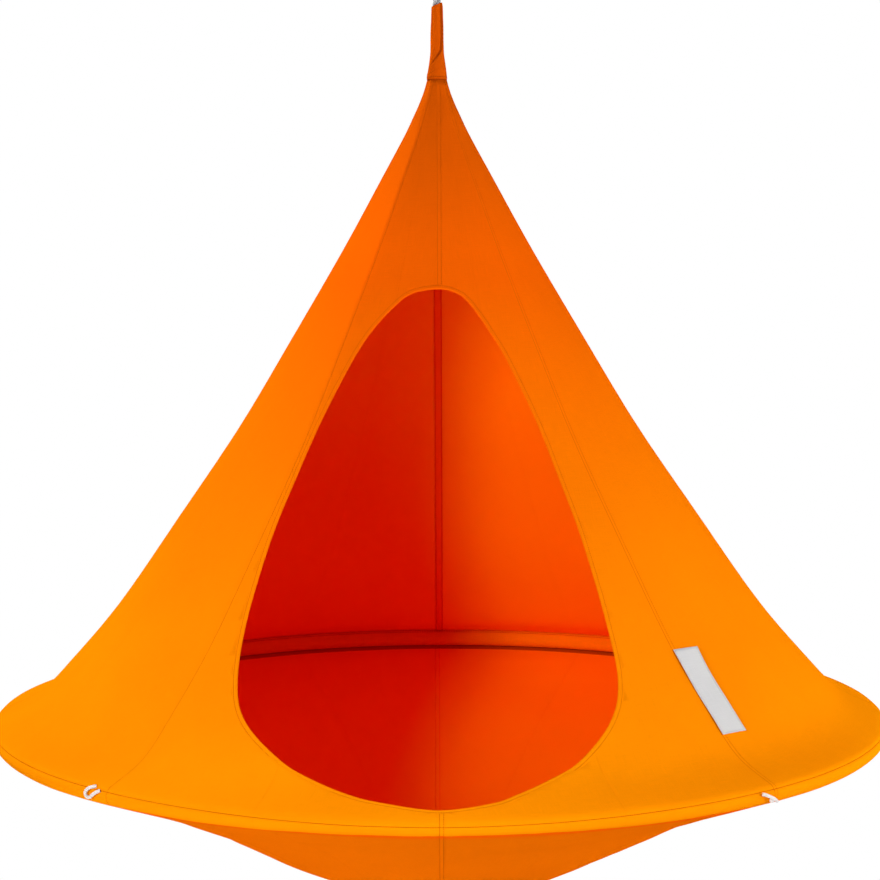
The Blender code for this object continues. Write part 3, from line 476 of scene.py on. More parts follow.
def edited(piece, work, **options):
    """Runs one mesh operator on the whole of a piece, in edit mode."""
    chosen(piece)
    bpy.ops.object.mode_set(mode="EDIT")
    bpy.ops.mesh.select_all(action="SELECT")
    work(**options)
    bpy.ops.object.mode_set(mode="OBJECT")


def cloth_shell(name, patches, finishes, sides_meet=False):
    """A closed sheet of cloth from patches of (outer, inner, weave, seam, rim) grids.

    The last three are UV places in metres, and rim may be left out. Edges of patches that meet
    are merged into one sheet: sides_meet says that the patches' sides do.
    """
    verts, faces, sides = [], [], []
    layers = {label: [] for label in ("weave", "seam", "rim")[:len(patches[0]) - 2]}
    for outer, inner, *places in patches:
        rows, columns = outer.shape[:2]
        start = len(verts)
        under = start + rows * columns
        verts += [tuple(p) for grid in (outer, inner) for p in grid.reshape(-1, 3)]

        def add(corners, side):
            faces.append([base + r * columns + c for base, r, c in corners])
            for values, place in zip(layers.values(), places):
                values.extend([tuple(place[r, c]) for _, r, c in corners])
            sides.append(min(side, len(finishes) - 1))

        for r in range(rows - 1):
            for c in range(columns - 1):
                ring = [(r, c), (r + 1, c), (r + 1, c + 1), (r, c + 1)]
                add([(start, *p) for p in ring], 0)
                add([(under, *p) for p in reversed(ring)], 1)
        for r, order in ((0, 1), (rows - 1, -1)):
            for c in range(columns - 1):
                ring = [(start, r, c), (start, r, c + 1), (under, r, c + 1), (under, r, c)]
                add(ring[::order], 0)
        for c, order in () if sides_meet else ((0, 1), (columns - 1, -1)):
            for r in range(rows - 1):
                ring = [(start, r, c), (start, r + 1, c), (under, r + 1, c), (under, r, c)]
                add(ring[::order], 0)
    made = mesh_piece(name, verts, faces, layers, finishes)
    made.data.polygons.foreach_set("material_index", sides)
    edited(made, bpy.ops.mesh.remove_doubles, threshold=0.00002)
    return made


def door_line(count):
    """The door's edge as (x, height) points, clockwise from the top, evenly spaced."""
    right = [(width, height) for height, width in DOOR_RIGHT]
    left = [(-width, height) for height, width in reversed(DOOR_LEFT)]
    ring = [(0.0, DOOR_TOP), *right, (0.0, DOOR_BOTTOM), *left]
    wrapped = ring[-3:] + ring + ring[:4]
    route = smooth_route([Vector((*p, 0)) for p in wrapped], 0.002)
    from_top = [(point - Vector((0, DOOR_TOP, 0))).length for point in route]
    start = min(range(len(route) // 3), key=from_top.__getitem__)
    end = min(range(len(route) // 2, len(route)), key=from_top.__getitem__)
    pick = np.linspace(start, end, count + 1)[:-1]
    return stacked(*[np.interp(pick, range(len(route)), [p[k] for p in route]) for k in (0, 1)])


def beside_door(outer):
    """A factor that calms the cloth round the doorway: 0 at its edge and 1 from 7 cm away."""
    edge = door_line(CUT_POINTS)
    flat = stacked(outer[..., 0], outer[..., 2] - RING_Z)
    apart = np.linalg.norm(flat[:, :, None, :] - edge[None, None, :, :], axis=-1).min(axis=-1)
    return np.where(outer[..., 1] < 0, np.clip((apart - 0.012) / 0.06, 0, 1), 1.0)


def off_front(azimuth):
    """An azimuth in degrees from -180 to 180, so that 0 is the middle of the door."""
    return (azimuth + 180) % 360 - 180


def rim_creases(azimuth, hem):
    """Small pulled folds where the canopy turns over the ring under the door."""
    out = 0
    for middle, lean, from_hem, reach, depth in RIM_CREASES:
        line = (off_front(azimuth) - middle) * RIM_DEGREE - lean * (hem - from_hem)
        out = out + depth * bell(line, 0.0032) * bell(hem - from_hem, reach)
    return out


def cone_patch(index):
    """One panel of the canopy: its grids of outer and inner points, and their UV places."""
    radius, height = CONE[:, :1], CONE[:, 1:]
    along = length_along(CONE)[:, None]
    low, high = seam_at(index, height), seam_at(index + 1, height)
    wide = np.radians(high - low) * radius
    place = panel_columns(wide, 20)
    azimuth = low + np.degrees(place / radius)
    front = np.radians(off_front(azimuth))
    drawn = drawn_in(azimuth, low, high, height)
    drawn = drawn + (1 - drawn) * bell(height - PLATE_LEVEL, PLATE_BLEND)
    distance = np.minimum(place, wide - place)
    fade = np.clip((CONE[0, 1] - height) / 0.06, 0, 1)
    outer = swung(radius * drawn, azimuth, height)
    rumple = ripple(outer, 0.23, 3.0 + index) * 0.0016 + ripple(outer, 0.07, 9.0) * 0.0004
    rumple = rumple * np.clip(distance / 0.08, 0, 1) * beside_door(outer)
    pulls = np.sin((azimuth * 3.1) + 9 * ripple(outer, 0.11, 5.0))
    pulls = pulls * bell(height - 0.03, 0.05) * bell(front, 0.55)
    pulls = 0.0017 * pulls * np.clip(distance / 0.02, 0, 1)
    lift = (seam_relief(distance, along, index) + rumple + pulls) * fade
    low_down = np.clip((0.045 - height) / 0.02, 0, 1)
    lift = lift + (np.maximum(lift, -0.0002) - lift) * low_down
    lift = lift + rim_creases(azimuth, along[-1] - along) * low_down
    hem = along[-1] - along + HEM_SAG * bell(front, 0.5)
    lift = lift - 0.0005 * bell(hem - HEM_STITCH, 0.0012)
    away = facing(CONE, azimuth)
    top = outer + away * lift[..., None]
    weave = stacked(place - wide / 2 + index * PANEL_SHIFT, along)
    side = np.where(place < wide / 2, 1.0, -1.0)
    pressed = np.where((index == 7) & (side > 0) | (index == 6) & (side < 0), SEAM_PRESSED, 0.0)
    seam = stacked(side * (distance + pressed), along)
    return top, top - away * CLOTH, weave, seam, stacked(hem, place + index * 0.6)


def on_front(x, height):
    """Points of the canopy's outer face on the door side at the given x and height."""
    seam_radius = np.interp(-height, -CONE[:, 1], CONE[:, 0])
    azimuth = np.zeros_like(x)
    for _ in range(14):
        low = np.where(x >= 0, 0, seam_at(7, height) - 360)
        high = np.where(x >= 0, seam_at(1, height), 0)
        radius = seam_radius * drawn_in(azimuth, low, high, height)
        azimuth = np.degrees(np.arcsin(np.clip(x / radius, -1, 1)))
    return swung(radius, azimuth, height)


def canvas_weave():
    """Shared group: a plain weave of round threads on a place in metres, with slubs and lint."""
    given = {"Place": None, "Threads per metre": 1500.0}
    group, given, end = new_group("canvas weave", given, ("Height", "Shade"))
    across, along, _ = split(group, given["Place"])
    turn = times(group, given["Threads per metre"], math.pi)
    warp = maths(group, "SINE", times(group, across, turn))
    weft = maths(group, "SINE", times(group, along, turn))
    over = times(group, warp, weft)
    long = speckle(group, given["Place"], 1.0, 3.0, (1400.0, 35.0, 1.0))
    wide = speckle(group, given["Place"], 1.0, 3.0, (35.0, 1400.0, 1.0))
    slub = maths(group, "ADD", long, wide)
    filled(group, end, {
        "Height": maths(group, "MULTIPLY_ADD", over, 0.25, times(group, slub, 0.5)),
        "Shade": maths(group, "MULTIPLY_ADD", over, 0.04, maths(group, "MULTIPLY_ADD", slub, 0.16, 0.84)),
    })
    return group


def stitch_row():
    """Shared group: a row of lockstitches at a distance from a seam or an edge."""
    given = {"Seam place": None, "Offset": 0.006, "Stitch": 0.0035, "Thread": 0.0007}
    group, given, end = new_group("stitch row", given, ("Thread mask", "Dimple"))
    across, along, _ = split(group, given["Seam place"])
    apart = maths(group, "ABSOLUTE", maths(group, "SUBTRACT", across, given["Offset"]))
    side = maths(group, "SUBTRACT", 1.0, maths(group, "DIVIDE", apart, given["Thread"]))
    side = maths(group, "MAXIMUM", side, 0.0)
    step = maths(group, "FRACT", maths(group, "DIVIDE", along, given["Stitch"]))
    bow = maths(group, "SINE", times(group, step, math.pi))
    thread = times(group, maths(group, "GREATER_THAN", bow, 0.35), maths(group, "GREATER_THAN", side, 0.25))
    wide = maths(group, "SUBTRACT", 1.0, maths(group, "DIVIDE", apart, 0.003))
    dip = times(group, maths(group, "MAXIMUM", wide, 0.0), -1.0)
    dimple = maths(group, "MULTIPLY_ADD", times(group, thread, side), 1.4, dip)
    filled(group, end, {"Thread mask": thread, "Dimple": dimple})
    return group


weave_group = canvas_weave()
stitch_group = stitch_row()


def uv_place(tree, label):
    """The places of one of a piece's UV layers."""
    node = tree.nodes.new("ShaderNodeUVMap")
    node.uv_map = label
    return node.outputs[0]


def canvas_finish(
    name, top_colour, rim_colour, thread_colour, rows, threads=1500.0, sheen=0.1, hem=None, glow=0.0,
    edge=None, crease_shade=0.0010, tip_colour=None,
):
    """Waterproof cotton canvas: weave, slubs, faint clouding and rows of stitches at its seams.

    Where the top and rim colours differ, the colour runs between them with height, which paints shade
    towards the tip and light on the rim, and a tip colour adds more painted shade at the top. Creases
    at seams, folds and edges are painted in shade. A faint red glow stands for the light that comes
    through the thin cloth from outside, and edge is (near, far, amount, colour) of a painted shade
    that fades out along the seams from the first edge.
    """
    made, tree, shader, place = finish_of(name, {
        "Roughness": 0.82, "Specular IOR Level": 0.0, "Specular Tint": (1.0, 0.30, 0.0),
        "Sheen Weight": sheen, "Sheen Tint": (1.0, 0.35, 0.0),
        "Emission Color": (1.0, 0.0, 0.0), "Emission Strength": glow,
    })
    weave = in_group(tree, weave_group, {"Place": uv_place(tree, "weave"), "Threads per metre": threads})
    level = split(tree, place["Object"])[2]
    # Painted shade and light: the top colour holds from 0.75 m up and runs to the rim colour at the ring, and
    # the tip colour takes over from 0.80 m to the cone's top.
    colour = mixed(tree, spread(tree, level, RING_Z + 0.75, RING_Z), top_colour, rim_colour)
    if tip_colour is not None:
        colour = mixed(tree, spread(tree, level, RING_Z + 0.80, CONE_TOP_Z), colour, tip_colour)
    cloud = speckle(tree, place["Object"], 3.5, 3.0)
    colour = mixed(tree, spread(tree, cloud, 0.35, 0.7, 0.0, 0.14), colour, thread_colour)
    shade = tree.nodes.new("ShaderNodeCombineColor")
    filled(tree, shade, dict.fromkeys(range(3), weave["Shade"]))
    colour = mixed(tree, 1.0, colour, shade.outputs[0], "MULTIPLY")
    height = times(tree, weave["Height"], 0.35)
    seam_place = uv_place(tree, "seam")
    stitched = [(seam_place, offset, 0.7) for offset in rows]
    if hem is not None:
        stitched.append((uv_place(tree, "rim"), hem, 0.85))
    for line, offset, strength in stitched:
        stitch = in_group(tree, stitch_group, {"Offset": offset, "Seam place": line})
        colour = mixed(tree, times(tree, stitch["Thread mask"], strength), colour, thread_colour)
        height = maths(tree, "MULTIPLY_ADD", stitch["Dimple"], strength, height)
    across, along, _ = split(tree, seam_place)
    # Painted shade: the cloth darkens towards the thread colour within the crease width of a seam, a fold or
    # an edge.
    crease_shade = spread(tree, maths(tree, "ABSOLUTE", across), 0.4 * crease_shade, crease_shade, 0.65, 0.0)
    colour = mixed(tree, crease_shade, colour, thread_colour)
    if edge is not None:
        near, far, amount, tint = edge
        colour = mixed(tree, spread(tree, along, near, far, amount, 0.0), colour, tint)
    filled(tree, shader, {"Base Color": colour})
    raised(tree, shader, height, 0.0007)
    return made


PANELS = (
    "front_right", "side_right_front", "side_right_back", "back_right",
    "back_left", "side_left_back", "side_left_front", "front_left",
)
LIGHT_THROUGH = 0.078
CONE_TOP_Z = RING_Z + CONE_TOP
# The canopy's orange with painted shade and light: darkest at the apex, darker at the top, lighter and
# yellower at the rim.
ORANGE_APEX_SHADED = (0.62, 0.082, 0.0006)
ORANGE_TOP_SHADED = (0.90, 0.115, 0.0006)
ORANGE_RIM_LIT = (1.0, 0.285, 0.0006)
ORANGE_UNDER = (0.92, 0.165, 0.0006)
ORANGE_INNER = (1.0, 0.225, 0.0008)
ORANGE_THREAD = (0.62, 0.085, 0.0006)
orange_hemmed = canvas_finish(
    "orange_canvas_hemmed", ORANGE_TOP_SHADED, ORANGE_RIM_LIT, ORANGE_THREAD, (0.0060,), hem=HEM_STITCH,
    tip_colour=ORANGE_APEX_SHADED,
)
orange_inside = canvas_finish(
    "orange_canvas_inside", ORANGE_INNER, ORANGE_INNER, (0.85, 0.09, 0.0008), (0.0080,), sheen=0.0,
    glow=LIGHT_THROUGH,
)
canopy_panels = [cone_patch(index) for index in range(8)]
canopy = cloth_shell("canopy", canopy_panels, (orange_hemmed, orange_inside), True)

# The doorway is cut out of the two front panels with a prism of the door's outline.
opening = door_line(CUT_POINTS)
cut_line = opening + unit(opening - opening.mean(axis=0)) * 0.003
bpy.ops.object.select_all(action="DESELECT")
bpy.ops.mesh.primitive_circle_add(vertices=len(cut_line), radius=1, fill_type="NGON", location=(0, 0, 0))
cutter = bpy.context.object
for vertex, (x, height) in zip(cutter.data.vertices, cut_line):
    vertex.co = (x, -1.0, RING_Z + height)
edited(cutter, bpy.ops.mesh.extrude_region_move, TRANSFORM_OT_translate={"value": (0, 0.88, 0)})
edited(cutter, bpy.ops.mesh.normals_make_consistent, inside=False)
chosen(canopy)
cut = canopy.modifiers.new("doorway", "BOOLEAN")
cut.operation = "DIFFERENCE"
cut.solver = "EXACT"
cut.object = cutter
bpy.ops.object.modifier_apply(modifier=cut.name)
bpy.data.objects.remove(cutter)
canopy.data.shade_smooth()
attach(canopy, "tent")
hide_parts(*["upper_panel_" + side for side in PANELS])


# The doorway's edge is bound with a folded strip of the same canvas, stitched down along both
# of its borders. It is thicker than the canopy, and its fold is soft.
HEM = 0.009
BORDER = 0.003


def door_binding():
    """The folded strip round the doorway, as one closed ring that follows the canopy."""
    x, height = door_line(2 * CUT_POINTS).T
    here = on_front(x, height)
    ahead = unit(np.roll(here, -1, axis=0) - np.roll(here, 1, axis=0))
    step = 0.002
    wide = on_front(x + step, height) - on_front(x - step, height)
    tall = on_front(x, height + step) - on_front(x, height - step)
    away = unit(np.cross(wide, tall))
    away *= np.sign(-away[:, 1:2])
    back = np.cross(ahead, away)
    back *= np.sign(((here - here.mean(axis=0)) * back).sum(axis=1, keepdims=True))
    along = length_along(here)
    pucker = 0.00010 * np.sin(along / 0.0031)[:, None]
    section = (
        (HEM, -0.0002), (HEM - 0.0010, 0.0002), (HEM * 0.72, 0.0003), (HEM * 0.5, 0.0004), (0.0018, 0.0004),
        (0.0005, -0.0001), (0.0, -0.0009), (0.0005, -0.0019), (0.0018, -0.0025), (HEM * 0.5, -0.0026),
        (HEM * 0.78, -0.0023), (HEM - 0.0004, -0.0023), (HEM, -0.0017),
    )
    flat, places = [], []
    for across, out in section:
        swell = pucker if 0.002 < across < HEM - 0.001 else 0
        flat.append(here + back * across + away * (out + swell * np.sign(out + 0.0009)))
        places.append(stacked(HEM - across + BORDER, along))
    return np.stack(flat), np.stack(places)


def ring_mesh(name, grid, places, finish):
    """A surface over a grid of points that closes on itself, with UV places in metres."""
    rows, columns = grid.shape[:2]
    faces, uvs = [], []
    for r in range(rows):
        for c in range(columns):
            r2, c2 = (r + 1) % rows, (c + 1) % columns
            corners = ((r, c), (r2, c), (r2, c2), (r, c2))
            faces.append([a * columns + b for a, b in corners])
            for a, b in corners:
                across, along = places[a, b]
                if b == 0 and c2 == 0:
                    along = places[a, -1, 1] + (places[a, 1, 1] - places[a, 0, 1])
                uvs.append((across, along))
    verts = [tuple(p) for p in grid.reshape(-1, 3)]
    made = mesh_piece(name, verts, faces, {"weave": uvs, "seam": uvs}, [finish])
    edited(made, bpy.ops.mesh.normals_make_consistent, inside=False)
    return made


binding_canvas = canvas_finish("orange_binding", ORANGE_TOP_SHADED, ORANGE_RIM_LIT, ORANGE_THREAD, (BORDER + 0.0025,))
grid, places = door_binding()
hem = ring_mesh("doorway_binding", grid, places, binding_canvas)
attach(hem, "tent")
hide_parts("door_hem")


# Behind each seam runs a woven tape that carries the load from the plate in the tip down to the
# ring. It is sewn to the panels along both edges.
TAPE = 0.0138
TAPE_TOP = 1.0
TAPE_COLOUR = (0.90, 0.09, 0.0006)
tape_canvas = canvas_finish(
    "orange_seam_tape", TAPE_COLOUR, TAPE_COLOUR, (0.70, 0.04, 0.0006), (0.0016,), threads=900.0,
    sheen=0.0, glow=LIGHT_THROUGH * 0.8,
)


def tape_patch(index, lowest):
    """One tape as (outer, inner, weave, seam) grids just inside the canopy's seam."""
    line = CONE[(CONE[:, 1] < TAPE_TOP) & (CONE[:, 1] > lowest)]
    radius, height = line[:, :1], line[:, 1:]
    along = length_along(line)[:, None]
    seam = seam_at(index, height)
    place = np.linspace(-TAPE / 2, TAPE / 2, 9)[None, :]
    place = place * np.minimum(1, np.radians(36) * radius / TAPE)
    azimuth = seam + np.degrees(place / radius)
    before = seam_at((index - 1) % 8, height) - (360 if index == 0 else 0)
    low = np.where(place < 0, before, seam)
    high = np.where(place < 0, seam, seam_at(index + 1, height))
    face = swung(radius * drawn_in(azimuth, low, high, height), azimuth, height)
    away = facing(line, azimuth)
    bow = 0.0004 * np.sin(along / 0.012 + index) * (1 - (2 * place / TAPE) ** 2)
    outer = face - away * (CLOTH + 0.0002)
    inner = face - away * (CLOTH + 0.0014 + bow)[..., None]
    return outer, inner, stacked(place, along), stacked(np.abs(place[:, :1]) - np.abs(place), along)


TAPE_SIDES = ("front", "right_front", "right", "right_back", "back", "left_back", "left", "left_front")
for index, side in enumerate(TAPE_SIDES):
    lowest = DOOR_TOP + 0.011 if index == 0 else 0.0175
    tape = cloth_shell("seam_tape_" + side + "_woven", [tape_patch(index, lowest)], (tape_canvas,))
    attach(tape, "tent")
    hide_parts("seam_tape_" + side)


# The neck is a gathered cloth tube over the rope. It is wound once round and tied off by its own
# twist, so a long fold runs down it, and a seam joins it to the tip of the canopy.
NECK_CURVE = (
    (0.0, 0.0169), (0.006, 0.0168), (0.017, 0.0157), (0.034, 0.0130), (0.046, 0.0112), (0.060, 0.0106),
    (0.085, 0.0103), (0.105, 0.0094), (0.125, 0.0087),
)
NECK_LONG = 0.125
FOLD_LINE = ((0.0, -120), (0.012, -78), (0.026, -39), (0.050, 35), (0.070, 46), (0.125, 52))


def neck_grids():
    """The neck's outer and inner grids, with its folds, and their UV places."""
    line = smooth_curve([(radius, height) for height, radius in NECK_CURVE], 90)
    radius, height = line[:, :1], line[:, 1:]
    azimuth = np.linspace(0, 360, 161)[None, :]
    turn = np.radians(azimuth)
    climb = height / NECK_LONG
    past = (turn - np.radians(np.interp(height, *zip(*FOLD_LINE)))) % math.tau
    deep = np.interp(height, (0.0, 0.06, 0.12), (0.0026, 0.0022, 0.0012))
    step = deep * np.clip(past / 0.16, 0, 1) * np.clip(1 - past / 4.2, 0, 1) - 0.0004
    pleats = 0.00035 * np.sin(5 * turn - 5.2 * climb) + 0.00025 * np.sin(9 * turn + 7 * climb + 1)
    oval = 0.05 * radius * np.cos(2 * turn - 2.3 * climb)
    calm = np.clip(height / 0.028, 0, 1) * np.clip((NECK_LONG + 0.004 - height) / 0.01, 0.4, 1)
    collar = 0.0003 * bell(height - 0.0035, 0.0022)
    shape = radius + (step + pleats) * calm + oval * calm + collar
    slant = 0.0035 * np.clip((height - NECK_LONG + 0.023) / 0.023, 0, 1) * np.sin(turn)
    rise = CONE_TOP - 0.0005 + height + slant
    # The fold's distance goes into the seam place, so that the finish paints shade along the fold.
    fold = np.minimum(past, math.tau - past) * radius
    seam = stacked(np.where(fold < height, -fold, height), turn * radius)
    outer, inner = swung(shape, azimuth, rise), swung(shape - 0.0010, azimuth, rise)
    return outer, inner, stacked(turn * radius, rise), seam


# Painted shade: the neck takes the apex's shaded orange, and a wide crease darkens the cloth along its fold.
neck_canvas = canvas_finish(
    "orange_neck", ORANGE_APEX_SHADED, ORANGE_APEX_SHADED, (0.22, 0.022, 0.0006), (0.0045,), crease_shade=0.0026,
)
neck = cloth_shell("gathered_neck", [neck_grids()], (neck_canvas, orange_inside), True)
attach(neck, "tent")
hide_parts("neck_sleeve")


# The ring's tubes run in four cloth sleeves between the canopy and the floor. The cloth is
# pulled round the tube, so it shows long folds along the rim and small ones at its slits.
SLEEVE = 0.0143
PEAK_ANGLE = 105.0
SLEEVE_ROWS = (12, 118, 300)
RING_PARTS = (("front", -41, 41), ("right", 41, 135), ("back", 135, 225), ("left", 225, 319))


def sleeve_grids(low, high):
    """One sleeve's outer and inner faces round the tube, with folds that run along the rim."""
    shift = math.degrees(0.0015 / RING)
    azimuth = np.linspace(low + shift, high - shift, 90)[None, :]
    section = np.linspace(0, 360, 41)[:, None]
    around = np.radians(section)
    long = np.radians(azimuth - low) * RING
    place = stacked(0.35 * np.cos(around), 0.35 * np.sin(around), long * 3.0)
    folds = np.abs(ripple(place, 0.17, low / 40 + 3.0)) * 0.0012 + np.abs(ripple(place, 0.06, 2.0)) * 0.0004
    ends = np.minimum(long, long[:, ::-1])
    folds = folds + 0.0005 * (1 + np.sin(around * 6)) * np.exp(-ends / 0.02)
    inward = np.clip(-np.cos(around), 0, 1)
    reach = SLEEVE + 0.0002 + folds * (0.25 + 0.75 * inward) + 0.0034 * bell(section - PEAK_ANGLE, 34)
    lid = (WRAP - CLOTH - 0.0004) / np.cos(np.radians(np.clip(section - SHOULDER, 0, 75)))
    covered = (section < 150) | (section > 360 + HEM_ANGLE - 8)
    reach = np.where(covered, np.minimum(reach, lid), reach)
    outer, inner = (round_tube(radius, section, azimuth) for radius in (reach, reach - 0.0010))
    nearest = np.min([np.abs(section - row) for row in SLEEVE_ROWS], axis=0)
    weave = stacked(around * SLEEVE, long)
    seam = stacked(np.radians(nearest) * SLEEVE + 0.002, long)
    return [part[:, ::-1] for part in (outer, inner, weave, seam)]


SLEEVE_COLOUR = (0.95, 0.215, 0.0008)
sleeve_canvas = canvas_finish(
    "orange_rim_sleeve", SLEEVE_COLOUR, SLEEVE_COLOUR, (0.6, 0.05, 0.0008), (0.0036,), sheen=0.0,
)
for side, low, high in RING_PARTS:
    sleeve = cloth_shell(
        "rim_sleeve_" + side + "_canvas", [sleeve_grids(low, high)], (sleeve_canvas, orange_inside),
    )
    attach(sleeve, "tent")
    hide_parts("rim_sleeve_" + side)


# The floor is eight canvas panels in a shallow cone, sewn to the underside of the rim and pulled
# down to one point. A round patch inside covers the point, where all the seams meet.
FLOOR_CURVE = ((1.0, 0.0), (0.667, 0.304), (0.333, 0.705), (0.0, 1.0))
FLOOR_DEPTH = 0.3395
PATCH_RADIUS = 0.045


def floor_line():
    """The floor's lower face from under the rim to near its tip: (radius, height) rows."""
    edge = off_tube(WRAP, -63.4)
    line = [(edge[0] * across, edge[1] - (FLOOR_DEPTH + edge[1]) * down) for across, down in FLOOR_CURVE]
    curve = smooth_curve(line, 90)
    stop = np.array([[0.004, np.interp(-0.004, -curve[:, 0], curve[:, 1])]])
    return np.concatenate([curve[curve[:, 0] > 0.006], stop])


FLOOR = floor_line()


def floor_patch(index):
    """One floor panel: its lower and upper grids of points, and their UV places."""
    radius, height = FLOOR[:, :1], FLOOR[:, 1:]
    along = length_along(FLOOR)[:, None]
    low, high = SEAMS[index], SEAMS[index + 1]
    wide = np.radians(high - low) * radius
    place = panel_columns(wide, 16)
    azimuth = low + np.degrees(place / radius)
    distance = np.minimum(place, wide - place)
    under = swung(radius, azimuth, height)
    calm = np.clip(distance / 0.05, 0, 1) * np.clip((along - 0.004) / 0.05, 0, 1)
    stretched = under * np.array([1.0, 1.0, 3.0])
    rumple = ripple(stretched, 0.16, 4.0 + index) * 0.0030 + ripple(stretched, 0.05, 1.0) * 0.0006
    bands = 0.0009 * np.sin(along / 0.011 + 3 * ripple(under, 0.2, 6.0)) * np.exp(-along / 0.12)
    bands = bands * (0.4 + 0.6 * np.cos(np.radians(azimuth) * 2) ** 2)
    lift = seam_relief(distance, along, index + 0.5) + (rumple + bands) * calm
    down = facing(FLOOR, azimuth)
    outer = under + down * lift[..., None]
    weave = stacked(place - wide / 2 + index * PANEL_SHIFT, along)
    seam = stacked(np.where(place < wide / 2, 1.0, -1.0) * distance, along)
    return [part[:, ::-1] for part in (outer, outer - down * CLOTH, weave, seam)]


# Painted shade: inside, the floor darkens to a deep red-brown where it comes out from under the sleeve.
floor_inside = canvas_finish(
    "orange_floor_inside", ORANGE_INNER, ORANGE_INNER, (0.8, 0.08, 0.0008), (0.0080,), sheen=0.0,
    glow=LIGHT_THROUGH, edge=(0.017, 0.0215, 0.7, (0.12, 0.004, 0.0006)),
)
# Painted shade and light: under the rim the floor's outside is painted a redder orange that fades out over
# 4.5 cm.
floor_outside = canvas_finish(
    "orange_floor_outside", ORANGE_UNDER, ORANGE_UNDER, ORANGE_THREAD, (0.0060,),
    edge=(0.006, 0.045, 0.8, (1.0, 0.085, 0.0006)),
)
floor_panels = [floor_patch(index) for index in range(8)]
floor_cloth = cloth_shell("floor_cloth", floor_panels, (floor_outside, floor_inside), True)
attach(floor_cloth, "tent")
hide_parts(*["floor_panel_" + side for side in PANELS])

lo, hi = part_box("floor_patch")
slope = (hi[2] - lo[2] - 0.0015) / PATCH_RADIUS
turn = np.linspace(0, math.tau, 65)
discs = []
for radius in (0.0, 0.006, 0.014, 0.024, 0.034, 0.040, 0.0425, 0.0445, PATCH_RADIUS):
    wave = 0.0003 * np.sin(turn * 8) * (radius / PATCH_RADIUS)
    rise = lo[2] + slope * radius + 0.0015 + wave - (0.0011 if radius == PATCH_RADIUS else 0)
    discs.append(stacked(radius * np.sin(turn), -radius * np.cos(turn), rise))
top = np.stack(discs)
from_tip = np.hypot(top[..., 0], top[..., 1])
bottom = top.copy()
bottom[..., 2] = lo[2] + slope * from_tip
edge = stacked(PATCH_RADIUS - from_tip, turn * 0.04)
patch = cloth_shell(
    "floor_centre_patch", [(top, bottom, top[..., :2], edge)], (floor_inside, floor_inside), True,
)
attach(patch, "tent")
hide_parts("floor_patch")


# The ties are soft white cords that close the sleeve's slits. At the front left the cord stands
# out in a small loop, and at the front right it is knotted with two short ends.
TIE = 0.0054


def tie_points(seam, shape):
    """A tie's middle line from (sideways, radius from the tube, angle round the tube) points."""
    points = []
    for sideways, reach, angle in shape:
        azimuth = seam + math.degrees(sideways / RING)
        points.append(Vector(round_tube(reach, angle, azimuth).tolist()))
    return points


white_tie, tree, shader, place = finish_of("white_tie_cord", {"Roughness": 0.8, "Sheen Weight": 0.2})
around, along, _ = split(tree, place["UV"])
braids = [
    maths(tree, "SINE", maths(tree, "MULTIPLY_ADD", around, 1900.0, times(tree, along, lean)))
    for lean in (1500.0, -1500.0)
]
braid = maths(tree, "MULTIPLY_ADD", times(tree, *braids), 0.5, 0.5)
filled(tree, shader, {"Base Color": mixed(tree, braid, (0.62, 0.55, 0.52), (0.93, 0.88, 0.86))})
raised(tree, shader, braid, 0.0004)

LOOP = (
    (0.0010, 0.0185, 44), (-0.0020, 0.0205, 36), (-0.0075, 0.0222, 26), (-0.0120, 0.0230, 14),
    (-0.0128, 0.0232, 2), (-0.0095, 0.0230, -9), (-0.0035, 0.0226, -8), (0.0025, 0.0222, 4),
    (0.0085, 0.0212, 16), (0.0125, 0.0182, 27),
)
KNOT = (
    (-0.0150, 0.0188, 16), (-0.0105, 0.0208, 11), (-0.0050, 0.0230, 3), (0.0010, 0.0240, -6),
    (0.0020, 0.0226, -20), (0.0000, 0.0222, -14), (0.0020, 0.0238, -6), (0.0075, 0.0232, -14),
    (0.0125, 0.0222, -22), (0.0150, 0.0212, -27),
)
TUCKED = (
    (-0.0085, 0.0180, 32), (-0.0060, 0.0188, 5), (-0.0030, 0.0192, -30), (0.0, 0.0195, -55),
    (0.0030, 0.0192, -30), (0.0060, 0.0188, 5), (0.0085, 0.0180, 32),
)
TIES = (
    ("left_front", 319 - 1.6, LOOP), ("right_front", 39.9, KNOT), ("right_back", 135, TUCKED),
    ("left_back", 225, TUCKED),
)
for side, seam, shape in TIES:
    tie_route = smooth_route(tie_points(seam, shape), 0.0012)
    tie = laid_rope("rim_tie_" + side + "_cord", tie_route, TIE, 0.03, white_tie, strands=8, sides=24)
    tie.data.uv_layers[0].name = "weave"
    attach(tie, "tent")
    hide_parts("rim_tie_" + side)


# The tag is a blank strip of white woven tape. One long edge is sewn into the seam to the right
# of the door and the other is free, so it stands a little off the cloth and curls.
TAG_WIDE = 0.049
TAG_TOP = 0.1900
TAG_BOTTOM = 0.0735


